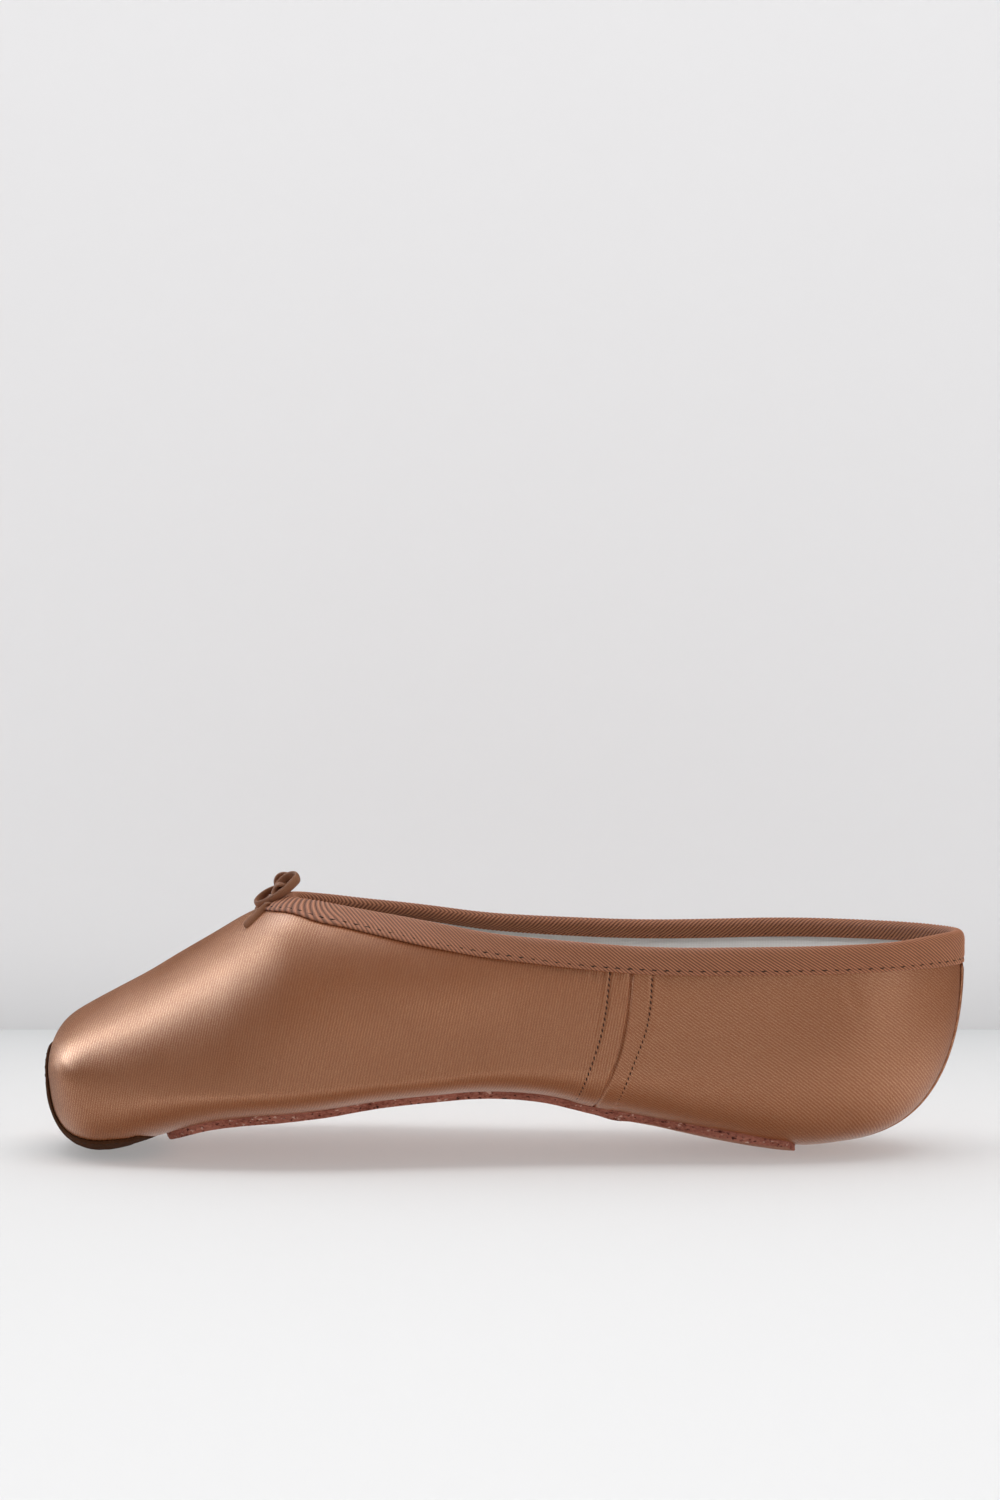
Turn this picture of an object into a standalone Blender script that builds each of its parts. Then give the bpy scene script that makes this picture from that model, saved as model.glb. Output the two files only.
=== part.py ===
# Pointe shoe, straight last, standing empty on its toe and heel.
# A satin upper with a stiff toe box, a thin arched leather outsole, an insole, a folded collar tape,
# a suede toe patch, a back seam tape and the small drawstring bow at the throat.
# Sizes are in millimetres here and become metres in the meshes. In the tables x runs along the shoe
# from the front of the toe (0) to the back of the heel, y is across it and z is up from the floor.
# The finished model has the toe at -X, the heel at +X and its origin under the middle of the shoe.

from collections import namedtuple
import math

import bpy
import numpy as np

MM = 0.001
SHOE_LENGTH = 230.0
SATIN_FRONT = 1.2       # front of the satin, behind the toe patch
SATIN_BACK = 228.9      # back of the satin, in front of the back seam tape
GAP = 0.3               # between pieces that touch on the real shoe

WALL = 1.2              # satin, canvas and lining
BOX_WALL = 3.1          # layers of the stiff toe box
BOX_FULL_X = 26.0       # the box has its full wall in front of this
BOX_END_X = 52.0

# The last: half of its width at its widest height, that height, its underside and its ridge on the
# centre line. Behind the throat the ridge is where the section would close above the open collar.
LastRow = namedtuple("LastRow", "x half_width wide_z under_z ridge_z")
LAST = (
    LastRow(0, 23.0, 20.0, 1.6, 29.2),
    LastRow(8, 25.2, 20.0, 0.95, 33.8),
    LastRow(14, 27.0, 19.8, 0.9, 37.2),
    LastRow(20, 28.8, 19.5, 1.8, 40.7),
    LastRow(26, 30.4, 19.2, 4.1, 44.2),
    LastRow(33, 32.0, 19.0, 6.9, 48.4),
    LastRow(42, 33.8, 19.0, 9.7, 53.6),
    LastRow(51, 35.2, 19.5, 11.1, 58.9),
    LastRow(60, 36.0, 20.0, 11.9, 62.6),
    LastRow(70, 35.8, 21.0, 12.9, 62.6),
    LastRow(84, 34.6, 22.2, 14.8, 61.5),
    LastRow(97, 32.8, 23.1, 15.8, 61.2),
    LastRow(110, 30.9, 24.5, 16.4, 61.8),
    LastRow(124, 29.3, 25.0, 15.3, 64.0),
    LastRow(139, 28.4, 25.0, 11.7, 69.0),
    LastRow(154, 28.3, 26.0, 8.8, 74.0),
    LastRow(169, 28.4, 28.0, 5.6, 80.0),
    LastRow(184, 28.0, 30.0, 2.6, 84.0),
    LastRow(199, 26.0, 34.0, 2.1, 82.0),
    LastRow(214, 22.5, 40.0, 2.1, 77.0),
    LastRow(230, 16.0, 50.0, 2.1, 74.0),
)
WIDTH_POWER = 2.2       # 2 is an ellipse, more is squarer
UNDER_WIDTH_POWER = 3.0  # the underside is flatter across
TOE_UNDER_POWER = 2.3   # but less so under the toe box
TOE_UNDER_X = 16.0
BALL_UNDER_X = 42.0
UPPER_POWER = 2.15
LOWER_POWER = 2.5
TOE_POWER = 1.75
TOE_REACH_HIGH = 9.2    # length of the round between vamp and platform
TOE_REACH_LOW = 10.8    # and between platform and sole
TOE_BLEND_LOW_Z = 14.0
TOE_BLEND_HIGH_Z = 26.0
HEEL_POWER = 2.5
HEEL_START_X = 188.0

# Height of the raw collar edge, under the roll of its tape.
CollarRow = namedtuple("CollarRow", "x z")
COLLAR = (
    CollarRow(55, 64.0),
    CollarRow(61, 62.9),
    CollarRow(70, 61.9),
    CollarRow(84, 59.9),
    CollarRow(97, 57.9),
    CollarRow(110, 56.0),
    CollarRow(124, 54.6),
    CollarRow(139, 53.6),
    CollarRow(154, 53.0),
    CollarRow(184, 53.2),
    CollarRow(230, 53.5),
)

# The upper is drawn as columns from the opening under the foot up to the collar. They fan round the
# toe from one upright axis and round the heel from another, and stand side by side between them.
TOE_AXIS_X = 75.0
HEEL_AXIS_X = 168.0
TOE_COLUMNS = 14
WAIST_COLUMNS = 10
HEEL_COLUMNS = 12
UPPER_ROWS = 16         # below the collar tape
TOE_FAN_BASE = 38.0     # how far out from their axis the columns of each fan are struck
HEEL_FAN_BASE = 25.0

SoleRow = namedtuple("SoleRow", "x half_width thickness")
OUTSOLE = (
    SoleRow(30, 21.0, 3.0),
    SoleRow(45, 22.6, 3.0),
    SoleRow(58, 24.0, 3.0),
    SoleRow(70, 23.0, 2.8),
    SoleRow(85, 20.0, 2.4),
    SoleRow(100, 16.6, 2.1),
    SoleRow(115, 14.6, 2.0),
    SoleRow(130, 14.0, 2.0),
    SoleRow(145, 14.8, 2.2),
    SoleRow(160, 16.0, 2.4),
    SoleRow(175, 16.6, 2.6),
    SoleRow(188, 16.2, 2.6),
)
INSOLE_THICKNESS = 1.5
INSOLE_GAP = 0.4
INSOLE = (
    SoleRow(14, 16.0, INSOLE_THICKNESS),
    SoleRow(25, 20.0, INSOLE_THICKNESS),
    SoleRow(45, 24.0, INSOLE_THICKNESS),
    SoleRow(60, 25.5, INSOLE_THICKNESS),
    SoleRow(80, 23.0, INSOLE_THICKNESS),
    SoleRow(100, 19.5, INSOLE_THICKNESS),
    SoleRow(120, 18.0, INSOLE_THICKNESS),
    SoleRow(150, 18.5, INSOLE_THICKNESS),
    SoleRow(180, 19.0, INSOLE_THICKNESS),
    SoleRow(200, 18.0, INSOLE_THICKNESS),
    SoleRow(217, 15.0, INSOLE_THICKNESS),
)
SoleEnds = namedtuple("SoleEnds", "front back front_round back_round")
OUTSOLE_ENDS = SoleEnds(30.3, 188.0, 18.0, 4.0)
INSOLE_ENDS = SoleEnds(14.0, 217.0, 14.0, 22.0)
END_POWER = 2.5
OPENING_INSET = 5.5     # the upper turns in this far under the edge of the outsole
OPENING_FRONT_X = 45.0  # in front of this, and behind the next, the opening only rounds off
OPENING_BACK_X = 175.0
SOLE_COLUMNS = 28
SOLE_ROWS = 4
SOLE_CENTRE_INSET = 8.0  # the centre line of a sole's mesh stops this far from its ends

# The collar tape is folded over the raw edge and rolled round the drawstring.
TAPE = 0.7
TAPE_GAP = 0.4
OUTER_LEG = 6.5
INNER_LEG = 5.5
ROLL_RADIUS = 1.75
ROLL_SIDES = 5

# The suede patch: half of its width at angles round the toe, where -90 is straight down and 0 is
# straight ahead of a line inside the toe box.
TipRow = namedtuple("TipRow", "angle half_width")
TOE_TIP = (
    TipRow(-128, 13.0),
    TipRow(-121, 17.5),
    TipRow(-108, 19.5),
    TipRow(-80, 19.0),
    TipRow(-45, 16.5),
    TipRow(-10, 14.0),
    TipRow(15, 12.5),
    TipRow(30, 9.5),
    TipRow(40, 4.5),
)
TIP_CENTRE_X = 22.0
TIP_CENTRE_Z = 15.0
TIP_THICKNESS = 0.7
TIP_GAP = 0.5           # more than elsewhere, over the tight round of the toe
TIP_ROWS = 17
TIP_COLUMNS = 6

SEAM_HALF_WIDTH = 1.8
SEAM_THICKNESS = 0.7
SEAM_CENTRE_X = 200.0
SEAM_CENTRE_Z = 28.0
SEAM_LOW_X = 189.5      # its lower end meets the end of the outsole
SEAM_HIGH_Z = 46.4      # its upper end meets the collar tape
SEAM_ROWS = 16

# The drawstring: a knot on the throat, two loops and two ends that lie on the vamp. A route's points
# are chosen by hand as x, y and height over the satin.
STRING = 1.65
KNOT = (57.8, 0.0, 3.2)
KNOT_SIZE = (3.6, 4.2, 3.4)
KNOT_SIDES = 12
KNOT_RINGS = 8
LOOP_NEAR = (
    (55.9, 1.0, 3.2), (54.6, 1.2, 3.1), (53.2, 0.4, 2.6), (52.6, -1.2, 2.1), (53.2, -2.9, 2.2),
    (54.6, -3.7, 2.6), (56.0, -3.3, 2.9), (56.6, -2.7, 2.9),
)
LOOP_FAR = (
    (60.2, -1.2, 3.3), (61.4, -1.9, 3.0), (63.2, -1.4, 3.2), (64.3, 0.4, 3.9), (63.8, 2.4, 4.8),
    (62.0, 3.7, 5.5), (59.8, 3.7, 5.8), (58.5, 2.7, 5.8), (58.0, 1.5, 5.8),
)
TAIL_NEAR = ((58.2, -2.9, 2.9), (58.0, -4.8, 2.7), (57.3, -6.9, 2.5), (56.1, -9.0, 2.3),
             (54.2, -11.3, 1.4), (51.8, -13.6, 1.2))
TAIL_FAR = ((57.3, 2.9, 2.8), (56.9, 5.0, 2.6), (56.3, 7.2, 2.5), (55.4, 9.2, 2.1),
            (54.0, 11.6, 1.3), (52.2, 13.8, 1.2))
STRING_STEP = 1.9       # between the points of a tube

FLOOR_SIZE = (320.0, 140.0, 10.0)

BISECT_STEPS = 40
FINE_ANGLES = 181
NORMAL_STEP = 0.02
NEAR_ZERO = 1e-6        # points this near to a middle plane lie on it

Finish = namedtuple("Finish", "colour roughness")
SATIN = Finish((0.235, 0.098, 0.052), 0.35)
LEATHER = Finish((0.40, 0.14, 0.085), 0.85)
COTTON = Finish((0.50, 0.48, 0.45), 0.9)
TWILL = Finish((0.22, 0.105, 0.058), 0.7)
SUEDE = Finish((0.075, 0.030, 0.014), 0.95)


def clear_scene():
    for thing in list(bpy.data.objects):
        bpy.data.objects.remove(thing, do_unlink=True)


def new_collection(name):
    collection = bpy.data.collections.new(name)
    bpy.context.scene.collection.children.link(collection)
    return collection


def new_material(name, finish):
    material = bpy.data.materials.new(name)
    material.use_nodes = True
    shader = material.node_tree.nodes["Principled BSDF"]
    shader.inputs["Base Color"].default_value = (*finish.colour, 1.0)
    shader.inputs["Roughness"].default_value = finish.roughness
    shader.inputs["Metallic"].default_value = 0.0
    return material


# Curves through the tables


def smoothstep(t):
    t = np.clip(t, 0.0, 1.0)
    return t * t * (3.0 - 2.0 * t)


def curve_through(knots, values, x):
    """A smooth curve through a table's rows, level with its end rows beyond them."""
    knots, values = np.asarray(knots, float), np.asarray(values, float)
    slopes = np.gradient(values, knots)
    x = np.clip(x, knots[0], knots[-1])
    i = np.clip(np.searchsorted(knots, x, side="right") - 1, 0, len(knots) - 2)
    span = knots[i + 1] - knots[i]
    t = (x - knots[i]) / span
    rise = smoothstep(t)
    leave = t * (1.0 - t) ** 2 * span * slopes[i]
    arrive = t * t * (1.0 - t) * span * slopes[i + 1]
    return values[i] * (1.0 - rise) + values[i + 1] * rise + leave - arrive


def column_of(table, name):
    return [getattr(row, name) for row in table]


def along_last(name, x):
    return curve_through(column_of(LAST, "x"), column_of(LAST, name), x)


def collar_height(x):
    return curve_through(column_of(COLLAR, "x"), column_of(COLLAR, "z"), x)


def wall_at(x):
    return WALL + (BOX_WALL - WALL) * smoothstep((BOX_END_X - x) / (BOX_END_X - BOX_FULL_X))


# The body of the last, one rounded solid


def body_value(x, y, z):
    """Under 1 inside the outer surface of the satin, 1 on it and more outside."""
    half_width, wide_z = along_last("half_width", x), along_last("wide_z", x)
    under_z, ridge_z = along_last("under_z", x), along_last("ridge_z", x)
    rise = np.clip((z - wide_z) / (ridge_z - wide_z), 0.0, None) ** UPPER_POWER
    depth = np.clip((wide_z - z) / (wide_z - under_z), 0.0, None)
    drop = depth ** LOWER_POWER
    ball = smoothstep((x - TOE_UNDER_X) / (BALL_UNDER_X - TOE_UNDER_X))
    under_power = TOE_UNDER_POWER + (UNDER_WIDTH_POWER - TOE_UNDER_POWER) * ball
    flatness = WIDTH_POWER + (under_power - WIDTH_POWER) * smoothstep(depth)
    side = (np.abs(y) / half_width) ** flatness
    high = smoothstep((z - TOE_BLEND_LOW_Z) / (TOE_BLEND_HIGH_Z - TOE_BLEND_LOW_Z))
    toe_reach = TOE_REACH_LOW + (TOE_REACH_HIGH - TOE_REACH_LOW) * high
    toe = np.clip(1.0 - (x - SATIN_FRONT) / toe_reach, 0.0, None) ** TOE_POWER
    heel = np.clip((x - HEEL_START_X) / (SATIN_BACK - HEEL_START_X), 0.0, None) ** HEEL_POWER
    return side + rise + drop + toe + heel


def bisect(inside, low, high):
    """The place between low, which is inside, and high, which is not."""
    for _ in range(BISECT_STEPS):
        middle = (low + high) / 2.0
        here = inside(middle)
        low, high = np.where(here, middle, low), np.where(here, high, middle)
    return (low + high) / 2.0


def normals_at(points):
    steps = np.eye(3) * NORMAL_STEP
    slope = np.stack([
        body_value(*np.moveaxis(points + step, -1, 0)) - body_value(*np.moveaxis(points - step, -1, 0))
        for step in steps
    ], axis=-1)
    return slope / np.linalg.norm(slope, axis=-1, keepdims=True)


def stand_off(points, distance):
    """Points of the satin's outer face moved out of it, or into the shoe where distance is negative."""
    return points + normals_at(points) * np.asarray(distance)[..., None]


def top_height(x, y):
    """Height of the satin over a place on the vamp."""
    wide_z = along_last("wide_z", x)
    return bisect(lambda z: body_value(x, y, z) < 1.0, wide_z, wide_z + SHOE_LENGTH)


def under_height(x, y):
    wide_z = along_last("wide_z", x)
    return bisect(lambda z: body_value(x, y, z) < 1.0, wide_z, wide_z - SHOE_LENGTH)


# Outlines of the soles


def sole_half_width(table, ends, x):
    half_width = curve_through(column_of(table, "x"), column_of(table, "half_width"), x)
    front = np.clip(1.0 - (x - ends.front) / ends.front_round, 0.0, 1.0) ** END_POWER
    back = np.clip(1.0 - (ends.back - x) / ends.back_round, 0.0, 1.0) ** END_POWER
    return half_width * ((1.0 - front) * (1.0 - back)) ** (1.0 / END_POWER)


def opening_half_width(x):
    """Half of the hole under the foot, set in from the outsole all round."""
    ends = SoleEnds(OUTSOLE_ENDS.front + OPENING_INSET, OUTSOLE_ENDS.back - OPENING_INSET,
                    OUTSOLE_ENDS.front_round, OUTSOLE_ENDS.back_round)
    full_x = np.clip(x, OPENING_FRONT_X, OPENING_BACK_X)
    scale = 1.0 - OPENING_INSET / sole_half_width(OUTSOLE, OUTSOLE_ENDS, full_x)
    return sole_half_width(OUTSOLE, ends, x) * scale


# Columns of the upper

Columns = namedtuple("Columns", "x to_x to_y base_r base_z")


def columns_from(x, to_x, to_y, base_r):
    """Columns that start at x on the centre line, run out along to_x, to_y and are cast from base_r."""
    base_x = x + to_x * base_r
    top_z = np.minimum(collar_height(base_x), along_last("ridge_z", base_x))
    return Columns(x, to_x, to_y, base_r, (along_last("under_z", base_x) + top_z) / 2.0)


def fan(axis_x, to_end, base, turn):
    """Columns round an upright axis, turned from the end of the shoe (0) to square across it."""
    return columns_from(np.full(len(turn), axis_x), to_end * np.cos(turn), -np.sin(turn),
                        base * np.cos(turn) ** 2)


def even_fan(axis_x, to_end, base, count):
    """Turns that share out both the widest outline and the collar evenly."""
    turn = np.linspace(0.0, math.pi / 2.0, FINE_ANGLES)
    columns = fan(axis_x, to_end, base, turn)
    head = rim_angles(columns)[1]
    share = (share_along(cast(columns, 0.0 * turn)) + share_along(cast(columns, head))) / 2.0
    return np.interp(np.linspace(0.0, 1.0, count + 1), share, turn)


def make_columns():
    toe = fan(TOE_AXIS_X, -1.0, TOE_FAN_BASE, even_fan(TOE_AXIS_X, -1.0, TOE_FAN_BASE, TOE_COLUMNS))
    heel_turn = even_fan(HEEL_AXIS_X, 1.0, HEEL_FAN_BASE, HEEL_COLUMNS)
    heel = fan(HEEL_AXIS_X, 1.0, HEEL_FAN_BASE, heel_turn[::-1])
    waist_x = np.linspace(TOE_AXIS_X, HEEL_AXIS_X, WAIST_COLUMNS + 1)[1:-1]
    level = np.zeros(len(waist_x))
    waist = columns_from(waist_x, level, level - 1.0, level)
    return Columns(*(np.concatenate(values) for values in zip(toe, waist, heel)))


def place_in_columns(columns, r, z):
    return np.stack(np.broadcast_arrays(columns.x + columns.to_x * r, columns.to_y * r, z), axis=-1)


def cast(columns, angle):
    """Points of the satin seen from each column's base at these angles above the level."""
    def at(distance):
        r = columns.base_r + distance * np.cos(angle)
        return place_in_columns(columns, r, columns.base_z + distance * np.sin(angle))

    far = np.full(np.shape(angle), SHOE_LENGTH)
    distance = bisect(lambda d: body_value(*np.moveaxis(at(d), -1, 0)) < 1.0, 0.0 * far, far)
    return at(distance)


def rim_angles(columns):
    """The angle of each column's foot, at the opening under the shoe, and of its head at the collar."""
    far = np.full(columns.x.shape, SHOE_LENGTH)

    def over_opening(r):
        x, y = columns.x + columns.to_x * r, columns.to_y * r
        return np.abs(y) < opening_half_width(x)

    def under_collar(r):
        x, y = columns.x + columns.to_x * r, columns.to_y * r
        return body_value(x, y, collar_height(x)) < 1.0

    foot_r = bisect(over_opening, 0.0 * far, far)
    foot_x, foot_y = columns.x + columns.to_x * foot_r, columns.to_y * foot_r
    foot_z = under_height(foot_x, foot_y)
    head_r = bisect(under_collar, 0.0 * far, far)
    head_z = collar_height(columns.x + columns.to_x * head_r)
    foot = np.arctan2(foot_z - columns.base_z, foot_r - columns.base_r)
    head = np.arctan2(head_z - columns.base_z, head_r - columns.base_r)
    return foot, head


def lengths_along(points):
    """Distance along each line of points, whose first axis runs along the line."""
    steps = np.linalg.norm(np.diff(points, axis=0), axis=-1)
    return np.concatenate([np.zeros((1,) + steps.shape[1:]), np.cumsum(steps, axis=0)])


def share_along(points):
    """Where each point comes on its line, half by length and half by how far the line has turned."""
    length = lengths_along(points)
    steps = np.diff(points, axis=0)
    steps = steps / np.linalg.norm(steps, axis=-1, keepdims=True)
    bends = np.arccos(np.clip((steps[1:] * steps[:-1]).sum(-1), -1.0, 1.0))
    turned = np.concatenate([0.0 * length[:1], np.cumsum(bends, axis=0), np.zeros((1,) + length.shape[1:])])
    turned[-1] = turned[-2]
    return (length / length[-1] + turned / turned[-1]) / 2.0


def each_column(wanted, known, angle):
    """Angles at the wanted shares or lengths of each column."""
    return np.stack([np.interp(wanted, known[:, j], angle[:, j]) for j in range(known.shape[1])], axis=1)


def angles_below_collar(columns, drops):
    """Angles in each column at these distances down the satin from the raw edge of the collar."""
    foot, head = rim_angles(columns)
    fine = head + np.linspace(0.0, 1.0, FINE_ANGLES)[:, None] * (foot - head)
    return each_column(drops, lengths_along(cast(columns, fine)), fine)


# Meshes from grids of points


def model_points(points):
    """Table millimetres to the model's own metres, with the shoe's middle at X = 0."""
    moved = np.asarray(points, float).copy()
    moved[..., 0] -= SHOE_LENGTH / 2.0
    moved[np.abs(moved) < NEAR_ZERO] = 0.0
    return moved * MM


def grid_object(name, points, collection, material, closed_rows=False):
    """A sheet of four-sided faces over a grid of points. closed_rows joins the last row to the first."""
    rows, columns = points.shape[:2]
    faces = []
    for i in range(rows if closed_rows else rows - 1):
        above = (i + 1) % rows
        for j in range(columns - 1):
            faces.append((i * columns + j, i * columns + j + 1, above * columns + j + 1, above * columns + j))
    mesh = bpy.data.meshes.new(name)
    mesh.from_pydata(model_points(points).reshape(-1, 3).tolist(), [], faces)
    mesh.shade_smooth()
    mesh.materials.append(material)
    thing = bpy.data.objects.new(name, mesh)
    collection.objects.link(thing)
    return thing


def mirror_across(thing):
    mirror = thing.modifiers.new("Other half", "MIRROR")
    mirror.use_axis = (False, True, False)
    mirror.merge_threshold = 0.0001


def thicken(thing, thickness, outward, weights=None):
    """A wall on the sheet. weights, from 0 to 1 for each point, make it thinner in places."""
    wall = thing.modifiers.new("Wall", "SOLIDIFY")
    wall.thickness = thickness * MM
    wall.offset = 1.0 if outward else -1.0
    wall.use_even_offset = True
    if weights is not None:
        group = thing.vertex_groups.new(name="wall")
        for index, weight in enumerate(weights.ravel()):
            group.add([index], float(weight), "REPLACE")
        wall.vertex_group = group.name
        wall.thickness_vertex_group = 0.0


def cut_with(thing, cutter):
    cut = thing.modifiers.new("Flat spot", "BOOLEAN")
    cut.operation = "DIFFERENCE"
    cut.solver = "EXACT"
    cut.object = cutter


# The pieces


def make_upper(collection, material):
    columns = make_columns()
    foot, head = rim_angles(columns)
    under_tape = angles_below_collar(columns, OUTER_LEG * np.array([1.0, 0.5, 0.0]))
    fine = foot + np.linspace(0.0, 1.0, FINE_ANGLES)[:, None] * (under_tape[0] - foot)
    below = each_column(np.linspace(0.0, 1.0, UPPER_ROWS + 1), share_along(cast(columns, fine)), fine)
    points = cast(columns, np.concatenate([below, under_tape[1:]]))
    upper = grid_object("upper", points, collection, material)
    mirror_across(upper)
    thicken(upper, BOX_WALL, False, wall_at(points[..., 0]) / BOX_WALL)
    return upper


def sole_sheet(table, ends, stand_offs):
    """Half of a sole's sheet: rows from its centre line out to its edge, on the body's underside."""
    turn = np.linspace(0.0, math.pi, FINE_ANGLES)
    x = ends.front + (ends.back - ends.front) * (1.0 - np.cos(turn)) / 2.0
    outline = np.stack([x, -sole_half_width(table, ends, x)], axis=-1)
    length = lengths_along(outline)
    wanted = np.linspace(0.0, length[-1], SOLE_COLUMNS + 1)
    edge = np.stack([np.interp(wanted, length, outline[:, 0]), np.interp(wanted, length, outline[:, 1])], -1)
    edge[[0, -1], 1] = 0.0
    centre_x = np.linspace(ends.front + SOLE_CENTRE_INSET, ends.back - SOLE_CENTRE_INSET, SOLE_COLUMNS + 1)
    centre = np.stack([centre_x, 0.0 * centre_x], axis=-1)
    out = np.linspace(0.0, 1.0, SOLE_ROWS + 1)[:, None, None]
    plan = centre * (1.0 - out) + edge * out
    points = np.concatenate([plan, under_height(plan[..., 0], plan[..., 1])[..., None]], axis=-1)
    points = stand_off(points, stand_offs(points[..., 0]))
    points[..., 1] = np.minimum(points[..., 1], 0.0)
    points[0, :, 1] = 0.0
    points[:, [0, -1], 1] = 0.0
    return points


def make_outsole(collection, material, floor):
    points = sole_sheet(OUTSOLE, OUTSOLE_ENDS, lambda x: np.full(np.shape(x), GAP))
    outsole = grid_object("outsole", points, collection, material)
    thickness = curve_through(column_of(OUTSOLE, "x"), column_of(OUTSOLE, "thickness"), points[..., 0])
    mirror_across(outsole)
    thicken(outsole, thickness.max(), True, thickness / thickness.max())
    cut_with(outsole, floor)
    return outsole


def make_insole(collection, material):
    points = sole_sheet(INSOLE, INSOLE_ENDS, lambda x: -(wall_at(x) + INSOLE_GAP))
    insole = grid_object("insole", points, collection, material)
    mirror_across(insole)
    thicken(insole, INSOLE_THICKNESS, False)
    return insole


def tape_section():
    """The folded tape round the raw edge: distance down from the edge and out from the satin."""
    half_leg = OUTER_LEG / 2.0
    middle = -WALL / 2.0
    outer_face, inner_face = TAPE_GAP + TAPE, -(WALL + TAPE_GAP + TAPE)
    roll = [
        (-ROLL_RADIUS * math.sin(turn), middle + ROLL_RADIUS * math.cos(turn))
        for turn in np.linspace(0.0, math.pi, ROLL_SIDES + 1)
    ]
    outside = [(OUTER_LEG, outer_face), (half_leg, outer_face)]
    inside = [(half_leg, inner_face), (INNER_LEG, inner_face)]
    back = [(drop, inner_face + TAPE) for drop in (INNER_LEG, half_leg, -TAPE_GAP)]
    front = [(drop, TAPE_GAP) for drop in (-TAPE_GAP, half_leg, OUTER_LEG)]
    return outside + roll + inside + back + front


def make_collar_binding(collection, material):
    columns = make_columns()
    section = tape_section()
    edge = cast(columns, angles_below_collar(columns, [0.0])[0])
    just_below = cast(columns, angles_below_collar(columns, [TAPE])[0])
    up = (edge - just_below) / np.linalg.norm(edge - just_below, axis=-1, keepdims=True)
    angles = angles_below_collar(columns, [max(drop, 0.0) for drop, _ in section])
    rings = []
    for (drop, out), angle in zip(section, angles):
        place = cast(columns, angle)
        rings.append(stand_off(place, np.full(len(place), out)) - up * min(drop, 0.0))
    rings = np.stack(rings)
    rings[:, [0, -1], 1] = 0.0
    binding = grid_object("collar_binding", rings, collection, material, closed_rows=True)
    mirror_across(binding)
    return binding


def profile_points(centre_x, centre_z, y, angle):
    """Points of the satin in planes along the shoe, seen from a line across it at these angles."""
    y, angle = np.broadcast_arrays(y, angle)
    far = np.full(angle.shape, SHOE_LENGTH)

    def at(distance):
        x = centre_x - distance * np.cos(angle)
        return np.stack([x, y, centre_z + distance * np.sin(angle)], axis=-1)

    return at(bisect(lambda d: body_value(*np.moveaxis(at(d), -1, 0)) < 1.0, 0.0 * far, far))


def make_toe_tip(collection, material, floor):
    table_angle = column_of(TOE_TIP, "angle")
    fine = np.linspace(table_angle[0], table_angle[-1], FINE_ANGLES)
    middle = profile_points(TIP_CENTRE_X, TIP_CENTRE_Z, 0.0 * fine, np.radians(fine))
    share = share_along(middle[:, None, :])[:, 0]
    angle = np.interp(np.linspace(0.0, 1.0, TIP_ROWS + 1), share, fine)
    half_width = curve_through(table_angle, column_of(TOE_TIP, "half_width"), angle)
    across = -np.linspace(0.0, 1.0, TIP_COLUMNS + 1)
    points = profile_points(TIP_CENTRE_X, TIP_CENTRE_Z, half_width[:, None] * across,
                            np.radians(angle)[:, None] + 0.0 * across)
    points = stand_off(points, np.full(points.shape[:2], TIP_GAP))
    points[:, 0, 1] = 0.0
    tip = grid_object("toe_tip", points, collection, material)
    mirror_across(tip)
    thicken(tip, TIP_THICKNESS, True)
    cut_with(tip, floor)
    return tip


def make_back_seam_tape(collection, material):
    y = np.linspace(-SEAM_HALF_WIDTH, SEAM_HALF_WIDTH, 3)
    start = math.atan2(under_height(SEAM_LOW_X, 0.0) - SEAM_CENTRE_Z, SEAM_CENTRE_X - SEAM_LOW_X)
    level = bisect(lambda x: body_value(x, 0.0, SEAM_HIGH_Z) < 1.0, SEAM_CENTRE_X, SHOE_LENGTH + 1.0)
    stop = math.atan2(SEAM_HIGH_Z - SEAM_CENTRE_Z, SEAM_CENTRE_X - level) - 2.0 * math.pi
    fine = np.linspace(start, stop, FINE_ANGLES)
    middle = profile_points(SEAM_CENTRE_X, SEAM_CENTRE_Z, 0.0 * fine, fine)
    share = share_along(middle[:, None, :])[:, 0]
    angle = np.interp(np.linspace(0.0, 1.0, SEAM_ROWS + 1), share, fine)
    points = profile_points(SEAM_CENTRE_X, SEAM_CENTRE_Z, 0.0 * angle[:, None] + y, angle[:, None] + 0.0 * y)
    points = stand_off(points, np.full(points.shape[:2], GAP))
    seam = grid_object("back_seam_tape", points, collection, material)
    thicken(seam, SEAM_THICKNESS, True)
    return seam


def string_route(places):
    """A smooth line through hand-chosen places, each given as x, y and height over the satin."""
    places = np.array(places, float)
    centre = places.copy()
    centre[:, 2] += top_height(places[:, 0], places[:, 1])
    along = lengths_along(centre)
    count = max(4, int(round(along[-1] / STRING_STEP)))
    wanted = np.linspace(0.0, along[-1], count + 1)
    return np.stack([curve_through(along, centre[:, k], wanted) for k in range(3)], axis=-1)


def make_string(name, places, collection, material):
    curve = bpy.data.curves.new(name, "CURVE")
    curve.dimensions = "3D"
    curve.bevel_depth = STRING / 2.0 * MM
    curve.bevel_resolution = 2
    curve.use_fill_caps = True
    route = model_points(string_route(places))
    spline = curve.splines.new("POLY")
    spline.points.add(len(route) - 1)
    for point, place in zip(spline.points, route):
        point.co = (*place, 1.0)
    curve.materials.append(material)
    string = bpy.data.objects.new(name, curve)
    collection.objects.link(string)
    return string


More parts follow.
